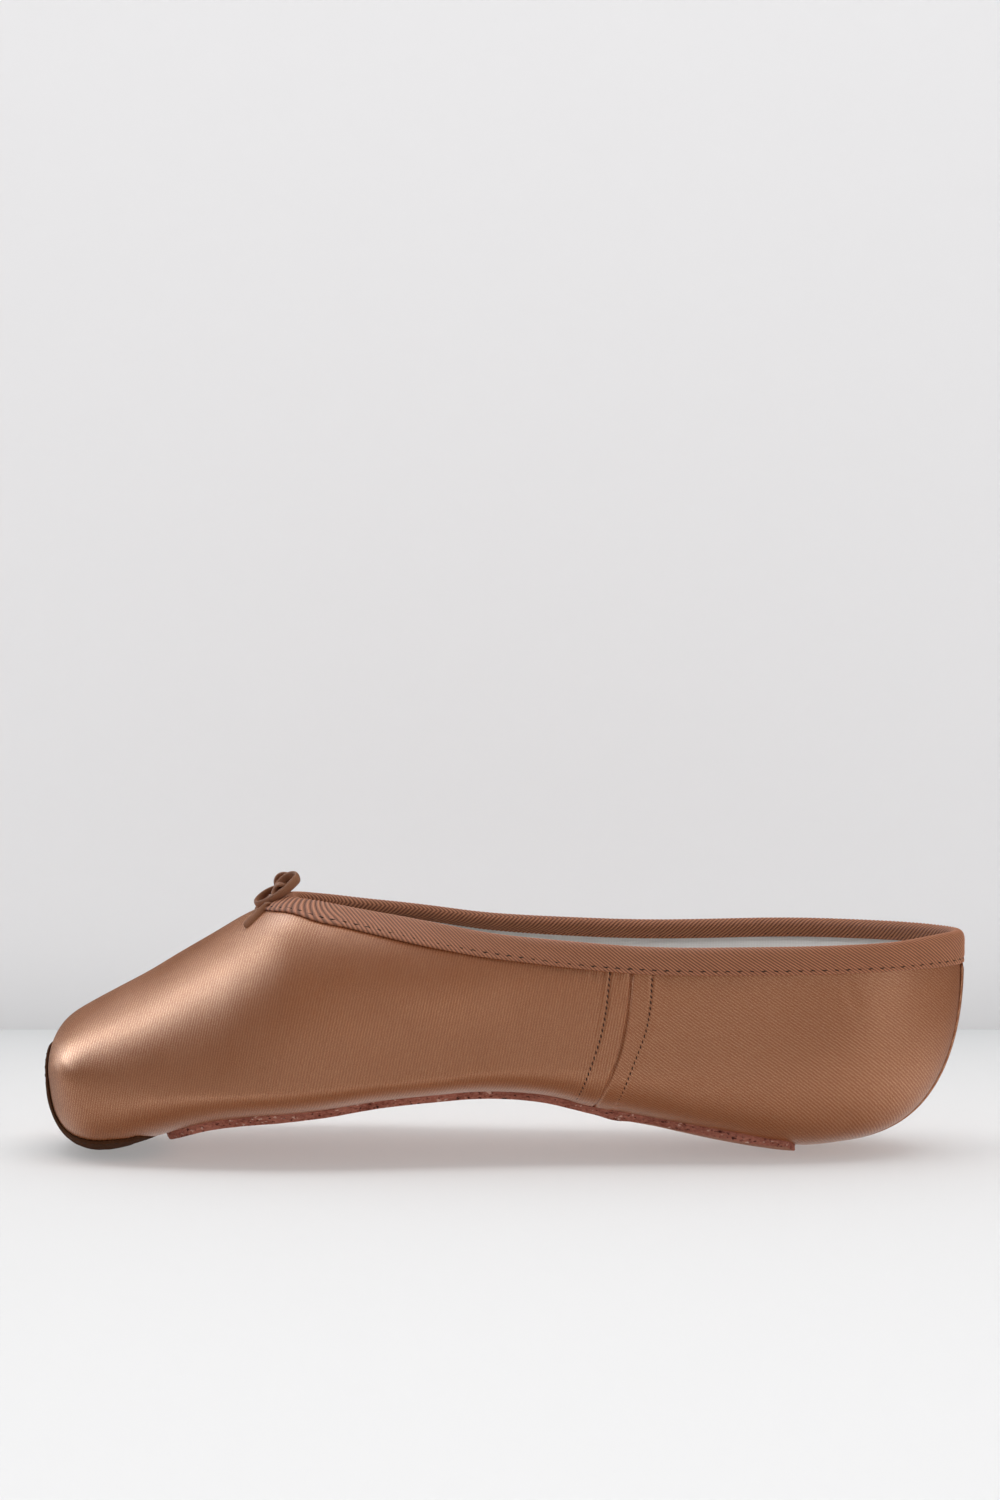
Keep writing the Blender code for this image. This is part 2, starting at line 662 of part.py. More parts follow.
def make_knot(collection, material):
    x, y, height = KNOT
    satin_z = float(top_height(np.array(x), np.array(y)))
    bpy.ops.mesh.primitive_uv_sphere_add(segments=KNOT_SIDES, ring_count=KNOT_RINGS, radius=0.5,
                                         location=model_points((x, y, satin_z + height)))
    knot = bpy.context.object
    knot.name = knot.data.name = "drawstring_knot"
    knot.scale = [size * MM for size in KNOT_SIZE]
    knot.data.shade_smooth()
    knot.data.materials.append(material)
    move_to(collection, knot)
    return knot


def move_to(collection, thing):
    for other in list(thing.users_collection):
        other.objects.unlink(thing)
    collection.objects.link(thing)


def make_floor_cutter(collection):
    """A box whose top is the floor. It cuts the flat spots that the shoe stands on."""
    bpy.ops.mesh.primitive_cube_add(size=1.0, location=(0.0, 0.0, -FLOOR_SIZE[2] * MM / 2.0))
    floor = bpy.context.object
    floor.name = "floor_cutter"
    floor.scale = [size * MM for size in FLOOR_SIZE]
    floor.hide_render = True
    floor.display_type = "WIRE"
    move_to(collection, floor)
    return floor


def main():
    clear_scene()
    shoe = new_collection("pointe_shoe")
    floor = make_floor_cutter(new_collection("cutters"))
    satin = new_material("satin", SATIN)
    leather = new_material("outsole leather", LEATHER)
    cotton = new_material("insole cotton", COTTON)
    twill = new_material("collar twill", TWILL)
    suede = new_material("toe suede", SUEDE)
    make_upper(shoe, satin)
    make_outsole(shoe, leather, floor)
    make_insole(shoe, cotton)
    make_collar_binding(shoe, twill)
    make_toe_tip(shoe, suede, floor)
    make_back_seam_tape(shoe, satin)
    make_knot(shoe, twill)
    make_string("drawstring_loop_near", LOOP_NEAR, shoe, twill)
    make_string("drawstring_loop_far", LOOP_FAR, shoe, twill)
    make_string("drawstring_tail_near", TAIL_NEAR, shoe, twill)
    make_string("drawstring_tail_far", TAIL_FAR, shoe, twill)


main()
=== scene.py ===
import math

import bmesh
import bpy
import numpy as np
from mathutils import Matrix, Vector


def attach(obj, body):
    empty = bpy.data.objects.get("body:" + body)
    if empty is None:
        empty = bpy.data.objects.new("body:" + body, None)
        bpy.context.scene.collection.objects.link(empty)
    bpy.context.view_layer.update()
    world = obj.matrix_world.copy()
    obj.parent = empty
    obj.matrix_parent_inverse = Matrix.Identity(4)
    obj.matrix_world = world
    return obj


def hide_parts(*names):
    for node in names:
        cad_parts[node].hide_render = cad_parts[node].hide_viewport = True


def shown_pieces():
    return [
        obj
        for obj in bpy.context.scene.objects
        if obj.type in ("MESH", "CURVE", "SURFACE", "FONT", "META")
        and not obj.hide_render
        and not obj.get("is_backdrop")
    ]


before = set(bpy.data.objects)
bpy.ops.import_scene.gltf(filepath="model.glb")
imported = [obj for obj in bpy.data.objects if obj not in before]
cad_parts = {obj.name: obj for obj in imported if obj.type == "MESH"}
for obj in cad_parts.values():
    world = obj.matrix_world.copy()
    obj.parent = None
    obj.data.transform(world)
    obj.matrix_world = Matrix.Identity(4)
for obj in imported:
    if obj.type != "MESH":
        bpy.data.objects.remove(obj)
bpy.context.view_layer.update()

mm = 0.001
scene = bpy.context.scene

# Camera: level with the side of the shoe and a little above it, toe to the left.

cameraSet = {
    "aim": (-0.0011, 0.0, 0.0),
    "distance": 1.3,
    "above": 9.5,       # degrees over the level of the floor
    "lookDown": 5.11,   # degrees under the level, which leaves the shoe low in the frame
    "lens": 124.2,
    "sensor": 36.0,
}


def addObject(name, data):
    thing = bpy.data.objects.new(name, data)
    scene.collection.objects.link(thing)
    return thing


def makeCamera(values):
    data = bpy.data.cameras.new("shoeCamera")
    data.lens, data.sensor_width, data.sensor_fit = values["lens"], values["sensor"], "AUTO"
    data.clip_start, data.clip_end = 0.01, 20.0
    camera = addObject("shoeCamera", data)
    above = math.radians(values["above"])
    back = Vector((0.0, -math.cos(above), math.sin(above)))
    camera.location = Vector(values["aim"]) + back * values["distance"]
    camera.rotation_euler = (math.radians(90.0 - values["lookDown"]), 0.0, 0.0)
    scene.camera = camera


makeCamera(cameraSet)
print("camera placed")

# The last, repeated from the part's source, so each piece lies on its solid. The shoulder over the
# platform is a little fuller, as on the finished shoe.

last = {
    "length": 230.0,
    "satinFront": 1.2, "satinBack": 228.9,
    "wall": 1.2, "boxWall": 3.1, "boxFullX": 26.0, "boxEndX": 52.0,
    "widthPower": 2.2, "underWidthPower": 3.0, "toeUnderPower": 2.3, "toeUnderX": 16.0, "ballUnderX": 42.0,
    "upperPower": 2.15, "lowerPower": 2.5, "heelPower": 2.5, "heelStart": 188.0,
    "toeReachHigh": 12.0, "toePowerHigh": 4.9, "toeReachLow": 16.0, "toePowerLow": 2.8,
    "toeBlendLow": 12.0, "toeBlendHigh": 28.0,
    "toeAxis": 75.0, "heelAxis": 168.0, "toeBase": 38.0, "heelBase": 25.0,
}
lastRows = np.array([  # x, half width, height of the widest line, underside, ridge
    (0, 23.0, 20.0, 1.6, 29.8), (8, 25.2, 20.0, 0.95, 34.4), (14, 27.0, 19.8, 0.9, 37.8),
    (20, 28.8, 19.5, 1.8, 41.0), (26, 30.4, 19.2, 4.1, 44.2), (33, 32.0, 19.0, 6.9, 48.4),
    (42, 33.8, 19.0, 9.7, 53.6), (51, 35.2, 19.5, 11.1, 58.9), (60, 36.0, 20.0, 11.9, 62.6),
    (70, 35.8, 21.0, 12.9, 62.6), (84, 34.6, 22.2, 14.8, 61.5), (97, 32.8, 23.1, 15.8, 61.2),
    (110, 30.9, 24.5, 16.4, 61.8), (124, 29.3, 25.0, 15.3, 64.0), (139, 28.4, 25.0, 11.7, 69.0),
    (154, 28.3, 26.0, 8.8, 74.0), (169, 28.4, 28.0, 5.6, 80.0), (184, 28.0, 30.0, 2.6, 84.0),
    (199, 26.0, 34.0, 2.1, 82.0), (214, 22.5, 40.0, 2.1, 77.0), (230, 16.0, 50.0, 2.1, 74.0),
]).T
collarRows = np.array([  # x, height of the raw edge under the tape's roll
    (55, 64.0), (61, 62.9), (70, 61.9), (84, 59.9), (97, 57.9), (110, 56.0), (124, 54.6),
    (139, 53.6), (154, 53.0), (184, 53.2), (230, 53.5),
]).T
fineSteps = 181


def smoothstep(t):
    t = np.clip(t, 0.0, 1.0)
    return t * t * (3.0 - 2.0 * t)


def ramp(x, start, end):
    # 0 up to the start, rising softly to 1 at the end
    return smoothstep((x - start) / (end - start))


def mix(a, b, share):
    return a + (b - a) * share


def bump(t):
    # 1 at t = 0, falling softly to 0 at t = 1 and -1
    return smoothstep(1.0 - np.abs(t))


def quarterRound(t):
    # 0 at t = 0, rising as a quarter circle does to 1 at t = 1
    return np.sqrt(1.0 - (1.0 - np.clip(t, 0.0, 1.0)) ** 2)


def curveThrough(knots, values, x):
    slopes = np.gradient(values, knots)
    x = np.clip(x, knots[0], knots[-1])
    i = np.clip(np.searchsorted(knots, x, side="right") - 1, 0, len(knots) - 2)
    span = knots[i + 1] - knots[i]
    t = (x - knots[i]) / span
    rise = smoothstep(t)
    leave = t * (1.0 - t) ** 2 * span * slopes[i]
    arrive = t * t * (1.0 - t) * span * slopes[i + 1]
    return values[i] * (1.0 - rise) + values[i + 1] * rise + leave - arrive


def tableCurve(rows, x, column=1):
    table = np.asarray(rows, float)
    return curveThrough(table[:, 0], table[:, column], x)


def alongLast(row, x):
    return curveThrough(lastRows[0], lastRows[row], x)


def collarHeight(x):
    return curveThrough(collarRows[0], collarRows[1], x)


def wallAt(x):
    return mix(last["wall"], last["boxWall"], ramp(x, last["boxEndX"], last["boxFullX"]))


def bodyValue(points):
    # under 1 inside the satin's outer face, 1 on it
    x, y, z = points[..., 0], points[..., 1], points[..., 2]
    halfWidth, wideZ, underZ, ridgeZ = (alongLast(row, x) for row in (1, 2, 3, 4))
    rise = np.clip((z - wideZ) / (ridgeZ - wideZ), 0.0, None) ** last["upperPower"]
    depth = np.clip((wideZ - z) / (wideZ - underZ), 0.0, None)
    ball = ramp(x, last["toeUnderX"], last["ballUnderX"])
    underPower = mix(last["toeUnderPower"], last["underWidthPower"], ball)
    flatness = mix(last["widthPower"], underPower, smoothstep(depth))
    side = (np.abs(y) / halfWidth) ** flatness
    high = ramp(z, last["toeBlendLow"], last["toeBlendHigh"])
    reach = mix(last["toeReachLow"], last["toeReachHigh"], high)
    toePower = mix(last["toePowerLow"], last["toePowerHigh"], high)
    toe = np.clip(1.0 - (x - last["satinFront"]) / reach, 0.0, None) ** toePower
    heel = np.clip((x - last["heelStart"]) / (last["satinBack"] - last["heelStart"]), 0.0, None)
    return side + rise + depth ** last["lowerPower"] + toe + heel ** last["heelPower"]


def bisect(inside, low, high, steps=34):
    for _ in range(steps):
        middle = (low + high) / 2.0
        here = inside(middle)
        low, high = np.where(here, middle, low), np.where(here, high, middle)
    return (low + high) / 2.0


def normalsAt(points):
    steps = np.eye(3) * 0.02
    slope = np.stack([bodyValue(points + step) - bodyValue(points - step) for step in steps], axis=-1)
    return slope / np.linalg.norm(slope, axis=-1, keepdims=True)


def standOff(points, distance):
    return points + normalsAt(points) * np.asarray(distance)[..., None]


def stack3(x, y, z):
    return np.stack(np.broadcast_arrays(x, y, z), axis=-1).astype(float)


def surfaceHeight(x, y, way):
    # height of the satin over a place on the vamp (way 1), or under the sole (way -1)
    wideZ = alongLast(2, x)
    far = wideZ + way * last["length"]
    return bisect(lambda z: bodyValue(stack3(x, y, z)) < 1.0, wideZ, far)


def columnsAt(p):
    # upright planes: 0 is the toe, 1 to 2 the waist and 3 the heel, fanned round an axis at each end
    toeTurn, heelTurn = np.clip(p, 0.0, 1.0) * math.pi / 2.0, np.clip(3.0 - p, 0.0, 1.0) * math.pi / 2.0
    x = mix(last["toeAxis"], last["heelAxis"], np.clip(p - 1.0, 0.0, 1.0))
    toX = np.where(p < 1.0, -np.cos(toeTurn), np.where(p > 2.0, np.cos(heelTurn), 0.0))
    toY = -np.where(p < 1.0, np.sin(toeTurn), np.where(p > 2.0, np.sin(heelTurn), 1.0))
    base = np.where(p < 1.0, last["toeBase"], last["heelBase"]) * toX * toX
    baseX = x + toX * base
    topZ = np.minimum(collarHeight(baseX), alongLast(4, baseX))
    return x, toX, toY, base, (alongLast(3, baseX) + topZ) / 2.0


def onSatin(at, shape):
    # where lines that leave the inside of the shoe meet the satin; at gives their points by distance
    start = np.zeros(shape)
    return at(bisect(lambda distance: bodyValue(at(distance)) < 1.0, start, start + last["length"]))


def cast(p, angle):
    # points of the satin seen from each column's base at these angles above the level
    x, toX, toY, base, baseZ = columnsAt(p)

    def at(distance):
        r = base + distance * np.cos(angle)
        return stack3(x + toX * r, toY * r, baseZ + distance * np.sin(angle))

    return onSatin(at, np.broadcast(p, angle).shape)


soleEndPower = 2.5


def soleHalfWidth(rows, ends, x):
    front = np.clip(1.0 - (x - ends[0]) / ends[2], 0.0, 1.0) ** soleEndPower
    back = np.clip(1.0 - (ends[1] - x) / ends[3], 0.0, 1.0) ** soleEndPower
    return tableCurve(rows, x) * ((1.0 - front) * (1.0 - back)) ** (1.0 / soleEndPower)


outsoleSet = {
    "rows": (  # x, half width, thickness
        (30, 20.6, 2.8), (45, 22.2, 2.9), (58, 23.6, 2.9), (70, 22.6, 2.7), (85, 19.6, 2.3),
        (100, 16.4, 2.1), (115, 14.6, 2.0), (130, 14.0, 2.0), (145, 14.8, 2.1), (160, 16.0, 2.3),
        (175, 16.6, 2.4), (188, 16.2, 1.9)),
    "ends": (30.0, 187.5, 18.0, 4.0),   # front, back and how far each end rounds off
    "openingInset": 5.5, "openingFront": 45.0, "openingBack": 175.0,
    "gap": 0.12,
    "columnStep": 0.7, "rowsAcross": 14, "wallRows": 9,
    "centreInset": 8.0, "crowding": 0.8,
    "wave": 0.16, "waveLength": 14.0, "fibreOut": 0.09, "fibreUp": 0.05, "cornerShare": 0.35,
    "kinks": ((142.0, 5.0, 0.45), (152.0, 6.0, -0.3)), "kinkInside": 0.3,   # x, half width, drop
    "underFacing": 0.85,   # faces that look down more than this show the underside's leather
}


def openingHalfWidth(x):
    inset, ends = outsoleSet["openingInset"], outsoleSet["ends"]
    inner = (ends[0] + inset, ends[1] - inset, ends[2], ends[3])
    fullX = np.clip(x, outsoleSet["openingFront"], outsoleSet["openingBack"])
    scale = 1.0 - inset / soleHalfWidth(outsoleSet["rows"], ends, fullX)
    return soleHalfWidth(outsoleSet["rows"], inner, x) * scale


def rimAngles(p):
    # angles of each column's foot, at the opening under the shoe, and head, at the raw collar edge
    x, toX, toY, base, baseZ = columnsAt(p)
    far = np.full(p.shape, last["length"])
    footR = bisect(lambda r: np.abs(toY * r) < openingHalfWidth(x + toX * r), 0.0 * far, far)
    footZ = surfaceHeight(x + toX * footR, toY * footR, -1)

    def underCollar(r):
        return bodyValue(stack3(x + toX * r, toY * r, collarHeight(x + toX * r))) < 1.0

    headR = bisect(underCollar, 0.0 * far, far)
    headZ = collarHeight(x + toX * headR)
    return np.arctan2(footZ - baseZ, footR - base), np.arctan2(headZ - baseZ, headR - base)


def lengthsAlong(points):
    steps = np.linalg.norm(np.diff(points, axis=0), axis=-1)
    return np.concatenate([np.zeros((1,) + steps.shape[1:]), np.cumsum(steps, axis=0)])


def shareAlong(points):
    # half by length and half by how far the line has turned
    length = lengthsAlong(points)
    steps = np.diff(points, axis=0)
    steps /= np.linalg.norm(steps, axis=-1, keepdims=True)
    bends = np.arccos(np.clip((steps[1:] * steps[:-1]).sum(-1), -1.0, 1.0))
    turned = np.concatenate([0.0 * length[:1], np.cumsum(bends, axis=0), np.zeros((1,) + length.shape[1:])])
    turned[-1] = turned[-2]
    return (length / length[-1] + turned / turned[-1]) / 2.0


def eachColumn(wanted, known, angle):
    return np.stack([np.interp(wanted, known[:, j], angle[:, j]) for j in range(known.shape[1])], axis=1)


def anglesBelowCollar(p, drops):
    foot, head = rimAngles(p)
    fine = mix(head, foot, np.linspace(0.0, 1.0, fineSteps)[:, None])
    return eachColumn(drops, lengthsAlong(cast(p, fine)), fine)


seamSpread = (132.0, 154.0, 4.0)   # where the columns stand closer, and how soon they get there


def spreadColumns(step, seamStep=None):
    # places of half the shoe's columns, evenly spaced and closer together round the side seam
    p = np.linspace(0.0, 3.0, 901)
    level, head = cast(p, 0.0 * p), cast(p, rimAngles(p)[1])
    length = (lengthsAlong(level) + lengthsAlong(head)) / 2.0
    front, back, blend = seamSpread
    near = smoothstep((level[:, 0] - front) / blend) * smoothstep((back + blend - level[:, 0]) / blend)
    steps = mix(step, seamStep or step, near)
    count = np.concatenate([[0.0], np.cumsum(np.diff(length) / (steps[1:] + steps[:-1]) * 2.0)])
    return np.interp(np.linspace(0.0, count[-1], int(round(count[-1])) + 1), count, p)


# Meshes from grids of points


def modelPoints(points):
    moved = np.array(points, float)
    moved[..., 0] -= last["length"] / 2.0
    return moved * mm


def bothSides(grid):
    # half a shoe's columns carried on round the heel and back to the toe along the far side
    far = grid[:, -2:0:-1]
    return np.concatenate([grid, far * np.array((1.0, -1.0, 1.0)) if grid.ndim > 2 else far], axis=1)


def gridFaces(rows, columns, closeRows=False, closeColumns=False):
    i = np.arange(rows if closeRows else rows - 1)[:, None]
    j = np.arange(columns if closeColumns else columns - 1)[None]
    up, on = (i + 1) % rows, (j + 1) % columns
    corners = (i * columns + j, i * columns + on, up * columns + on, up * columns + j)
    return np.stack(np.broadcast_arrays(*corners), axis=-1).reshape(-1, 4)


def addPiece(name, points, faces, materials, weld=False):
    mesh = bpy.data.meshes.new(name)
    faces = faces.tolist() if isinstance(faces, np.ndarray) else faces
    mesh.from_pydata(modelPoints(points).reshape(-1, 3).tolist(), [], faces)
    if weld:
        body = bmesh.new()
        body.from_mesh(mesh)
        bmesh.ops.remove_doubles(body, verts=body.verts, dist=1e-6)
        bmesh.ops.dissolve_degenerate(body, edges=body.edges, dist=1e-7)
        body.to_mesh(mesh)
        body.free()
    mesh.shade_smooth()
    for material in materials:
        mesh.materials.append(material)
    return addObject(name, mesh)


def addUv(piece, corners):
    # corners: two values for each corner of each face, in millimetres
    layer = piece.data.uv_layers.new(name="cloth")
    layer.data.foreach_set("uv", np.asarray(corners, np.float32).ravel())


def addSlab(name, upper, lower, materials):
    # a closed slab between two open grids of the same size
    rows, columns = upper.shape[:2]
    faces = gridFaces(rows, columns)
    count = rows * columns
    rim = [i * columns for i in range(rows - 1)] + [(rows - 1) * columns + j for j in range(columns - 1)]
    rim += [i * columns + columns - 1 for i in range(rows - 1, 0, -1)] + list(range(columns - 1, 0, -1))
    rim = np.array(rim)
    after = np.roll(rim, -1)
    walls = np.stack([rim, after, after + count, rim + count], axis=-1)
    points = np.concatenate([upper.reshape(-1, 3), lower.reshape(-1, 3)])
    return addPiece(name, points, np.concatenate([faces, faces[:, ::-1] + count, walls]), materials)


def ridesOn(piece, slot, *nodes):
    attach(piece, "root")
    if nodes:
        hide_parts(*nodes)
    return piece


def wobble(x, y, seed, scale):
    # smooth, fixed unevenness from a few sine waves, about -1 to 1
    total = 0.0
    turns = np.random.default_rng(seed)
    for _ in range(5):
        a, b, c = turns.uniform(-1.0, 1.0, 3)
        total = total + np.sin((x * a + y * b) * 2.0 * math.pi / scale + c * math.pi)
    return total / 3.0


# Shader node groups and materials


def setInput(tree, socket, value):
    if isinstance(value, bpy.types.NodeSocket):
        tree.links.new(value, socket)
    else:
        socket.default_value = value


def addNode(tree, kind, inputs=None, **settings):
    # a node with its settings, and values or other nodes' sockets on its inputs
    node = tree.nodes.new(kind)
    for name, value in settings.items():
        setattr(node, name, value)
    for key, value in (inputs or {}).items():
        setInput(tree, node.inputs[key], value)
    return node.outputs


def newGroup(name, numbers, results):
    # a group that takes a vector and some numbers and gives some more numbers
    tree = bpy.data.node_groups.new(name, "ShaderNodeTree")
    addSocket = tree.interface.new_socket
    addSocket(name="Vector", in_out="INPUT", socket_type="NodeSocketVector")
    for label, value in numbers.items():
        addSocket(name=label, in_out="INPUT", socket_type="NodeSocketFloat").default_value = value
    for label in results:
        addSocket(name=label, in_out="OUTPUT", socket_type="NodeSocketFloat")
    return tree, tree.nodes.new("NodeGroupInput").outputs, tree.nodes.new("NodeGroupOutput").inputs


def mathNode(tree, operation, *given):
    return addNode(tree, "ShaderNodeMath", dict(enumerate(given)), operation=operation)[0]


def noiseNode(tree, vector, scale, detail=3.0, roughness=0.5):
    return addNode(tree, "ShaderNodeTexNoise",
                   {"Vector": vector, "Scale": scale, "Detail": detail, "Roughness": roughness})["Fac"]


def rangeNode(tree, value, fromLow, fromHigh, toLow=0.0, toHigh=1.0):
    given = (value, fromLow, fromHigh, toLow, toHigh)
    return addNode(tree, "ShaderNodeMapRange", dict(enumerate(given)))["Result"]


def mixColour(tree, share, a, b):
    return addNode(tree, "ShaderNodeMix", {"Factor": share, 6: a, 7: b}, data_type="RGBA")[2]


def axesOf(tree, vector):
    return addNode(tree, "ShaderNodeSeparateXYZ", {"Vector": vector})


def makeWeaveGroup():
    # crossed threads on coordinates in millimetres; the pitches are from thread to thread
    tree, given, result = newGroup(
        "crossedThreads",
        {"Slant": 0.0, "Warp Pitch": 0.6, "Weft Pitch": 0.3, "Weft Share": 0.4, "Unevenness": 0.3},
        ("Height", "Tone"))
    vector, share = given["Vector"], given["Weft Share"]
    wander = mathNode(tree, "MULTIPLY", noiseNode(tree, vector, 0.9, 2.0), given["Unevenness"])
    axes = axesOf(tree, addNode(tree, "ShaderNodeVectorRotate", {"Vector": vector, "Angle": given["Slant"]},
                                rotation_type="Z_AXIS")["Vector"])
    threads = []
    for axis, pitch in (("X", "Warp Pitch"), ("Y", "Weft Pitch")):
        along = mathNode(tree, "DIVIDE", mathNode(tree, "ADD", axes[axis], wander), given[pitch])
        wave = mathNode(tree, "SINE", mathNode(tree, "MULTIPLY", along, 2.0 * math.pi))
        threads.append(mathNode(tree, "MULTIPLY_ADD", wave, 0.5, 0.5))
    weft = mathNode(tree, "MULTIPLY", threads[1], share)
    height = mathNode(tree, "MULTIPLY_ADD", threads[0], mathNode(tree, "SUBTRACT", 1.0, share), weft)
    patches = mathNode(tree, "MULTIPLY", noiseNode(tree, vector, 0.7, 4.0, 0.6), 0.3)
    setInput(tree, result["Height"], height)
    setInput(tree, result["Tone"], mathNode(tree, "MULTIPLY_ADD", height, 0.7, patches))
    return tree


def makeFibreGroup():
    # loose fibres and nap, in millimetres: a fine height, and a tone with broader blotches in it
    tree, given, result = newGroup("looseFibres", {"Fineness": 3.0, "Blotches": 0.25}, ("Height", "Tone"))
    vector, fineness = given["Vector"], given["Fineness"]
    fine = noiseNode(tree, vector, fineness, 5.0, 0.65)
    broad = mathNode(tree, "MULTIPLY", noiseNode(tree, vector, given["Blotches"], 3.0, 0.55), 0.4)
    cells = addNode(tree, "ShaderNodeTexVoronoi", {"Vector": vector, "Scale": fineness})["Distance"]
    clumps = rangeNode(tree, cells, 0.34, 0.08)
    setInput(tree, result["Height"], mathNode(tree, "MULTIPLY_ADD", clumps, 0.3, fine))
    setInput(tree, result["Tone"], mathNode(tree, "MULTIPLY_ADD", fine, 0.6, broad))
    return tree


crossedThreads, looseFibres = makeWeaveGroup(), makeFibreGroup()


def rgba(colour):
    return (*colour, 1.0)


def newMaterial(name, roughness, specular=0.5, sheen=0.0, sheenTint=(1.0, 1.0, 1.0)):
    material = bpy.data.materials.new(name)
    material.use_nodes = True
    shader = material.node_tree.nodes["Principled BSDF"]
    for label, value in (("Roughness", roughness), ("Specular IOR Level", specular), ("Sheen Weight", sheen),
                         ("Sheen Tint", rgba(sheenTint))):
        shader.inputs[label].default_value = value
    return material, material.node_tree, shader.inputs


def millimetres(tree, source, turn=(0.0, 0.0, 0.0), stretch=(1.0, 1.0, 1.0)):
    # pattern coordinates in millimetres, from the object's own place or from its cloth map
    if source == "object":
        place, size = addNode(tree, "ShaderNodeTexCoord")["Object"], 1.0 / mm
    else:
        place, size = addNode(tree, "ShaderNodeUVMap", uv_map=source)["UV"], 1.0
    return addNode(tree, "ShaderNodeMapping", {
        "Vector": place, "Scale": [size * s for s in stretch], "Rotation": [math.radians(t) for t in turn]})["Vector"]


def placeGroup(tree, group, **values):
    inputs = {label.replace("_", " "): value for label, value in values.items()}
    return addNode(tree, "ShaderNodeGroup", inputs, node_tree=group)


def bumpTo(tree, inputs, height, distance):
    normal = addNode(tree, "ShaderNodeBump", {"Height": height, "Strength": 1.0, "Distance": distance * mm})["Normal"]
    setInput(tree, inputs["Normal"], normal)


satinLook = {
    "ground": (0.33, 0.097, 0.028), "float": (0.74, 0.425, 0.24),
    "glints": 9.0, "glintRange": (0.565, 0.605), "weaveShare": 0.25,   # glints to a millimetre
    "warpPitch": 0.70, "weftPitch": 0.35, "weftShare": 0.3, "slant": 0.2, "unevenness": 0.35, "relief": 0.03,
    "roughness": 0.42, "roughnessChange": 0.04, "patches": 0.06,
}


def makeSatin(values):
    # fine glints of the threads that float on the face, and the dull red-brown ground between them
    material, tree, shader = newMaterial("brownSatin", values["roughness"])
    cloth = millimetres(tree, "cloth")
    weave = placeGroup(tree, crossedThreads, Vector=cloth, Slant=values["slant"], Warp_Pitch=values["warpPitch"],
                       Weft_Pitch=values["weftPitch"], Weft_Share=values["weftShare"],
                       Unevenness=values["unevenness"])
    over = mathNode(tree, "SUBTRACT", weave["Tone"], 0.5)
    fine = mathNode(tree, "MULTIPLY_ADD", over, values["weaveShare"], noiseNode(tree, cloth, values["glints"], 1.0))
    glints = rangeNode(tree, fine, *values["glintRange"])
    setInput(tree, shader["Base Color"], mixColour(tree, glints, rgba(values["ground"]), rgba(values["float"])))
    setInput(tree, shader["Metallic"], glints)
    rough, change = values["roughness"], values["roughnessChange"]
    patches = noiseNode(tree, cloth, values["patches"], 3.0)
    setInput(tree, shader["Roughness"], rangeNode(tree, patches, 0.3, 0.7, rough - change, rough + change))
    bumpTo(tree, shader, weave["Height"], values["relief"])
    return material


twillLook = {
    "colour": (0.41, 0.155, 0.075), "dark": (0.11, 0.036, 0.016), "light": (0.70, 0.28, 0.14),
    "contrast": 0.95, "ribCycle": 1.25, "ribStart": -2.6, "paintedRibShare": 0.75,   # one cycle of painted light and shade to each rib: lighter on its crest, darker between ribs
    "threadPitch": 0.42, "slant": 0.2, "unevenness": 0.4, "relief": 0.03,
    "roughness": 0.72, "specular": 0.35, "sheen": 0.05, "sheenTint": (1.0, 0.8, 0.68), "dust": 0.2,
}
cordLook = {**twillLook, "colour": (0.33, 0.14, 0.066), "light": (0.52, 0.23, 0.11), "contrast": 0.5,
            "threadPitch": 0.3, "relief": 0.05}


def makeTwill(name, values, ribs):
    material, tree, shader = newMaterial(name, values["roughness"], values["specular"], values["sheen"],
                                         values["sheenTint"])
    cycle, pitch = values["ribCycle"], values["threadPitch"]
    cloth = millimetres(tree, "cloth", stretch=(cycle if ribs else 1.0, 1.0, 1.0))
    weave = placeGroup(tree, crossedThreads, Vector=cloth, Slant=values["slant"], Warp_Pitch=pitch, Weft_Pitch=pitch,
                       Weft_Share=0.5, Unevenness=values["unevenness"])
    fibres = placeGroup(tree, looseFibres, Vector=cloth, Fineness=4.0, Blotches=0.15)
    tone = rangeNode(tree, weave["Tone"], 0.2, 0.8)
    # the ribs get painted light on their crests and painted shade between them; the threads' tone is the tape's own
    # weave
    if ribs:
        turns = mathNode(tree, "MULTIPLY_ADD", axesOf(tree, cloth)["X"], 2.0 * math.pi / cycle, values["ribStart"])
        ribLightAndShade = mathNode(tree, "MULTIPLY_ADD", mathNode(tree, "COSINE", turns), 0.5, 0.5)
        threads = mathNode(tree, "MULTIPLY", tone, 1.0 - values["paintedRibShare"])
        tone = mathNode(tree, "MULTIPLY_ADD", ribLightAndShade, values["paintedRibShare"], threads)
    dark, light = rgba(values["dark"]), rgba(values["light"])
    base = mixColour(tree, values["contrast"], rgba(values["colour"]), mixColour(tree, tone, dark, light))
    dust = mathNode(tree, "MULTIPLY", fibres["Tone"], values["dust"])
    setInput(tree, shader["Base Color"], mixColour(tree, dust, base, dark))
    bumpTo(tree, shader, mathNode(tree, "MULTIPLY_ADD", fibres["Height"], 0.4, weave["Height"]), values["relief"])
    return material


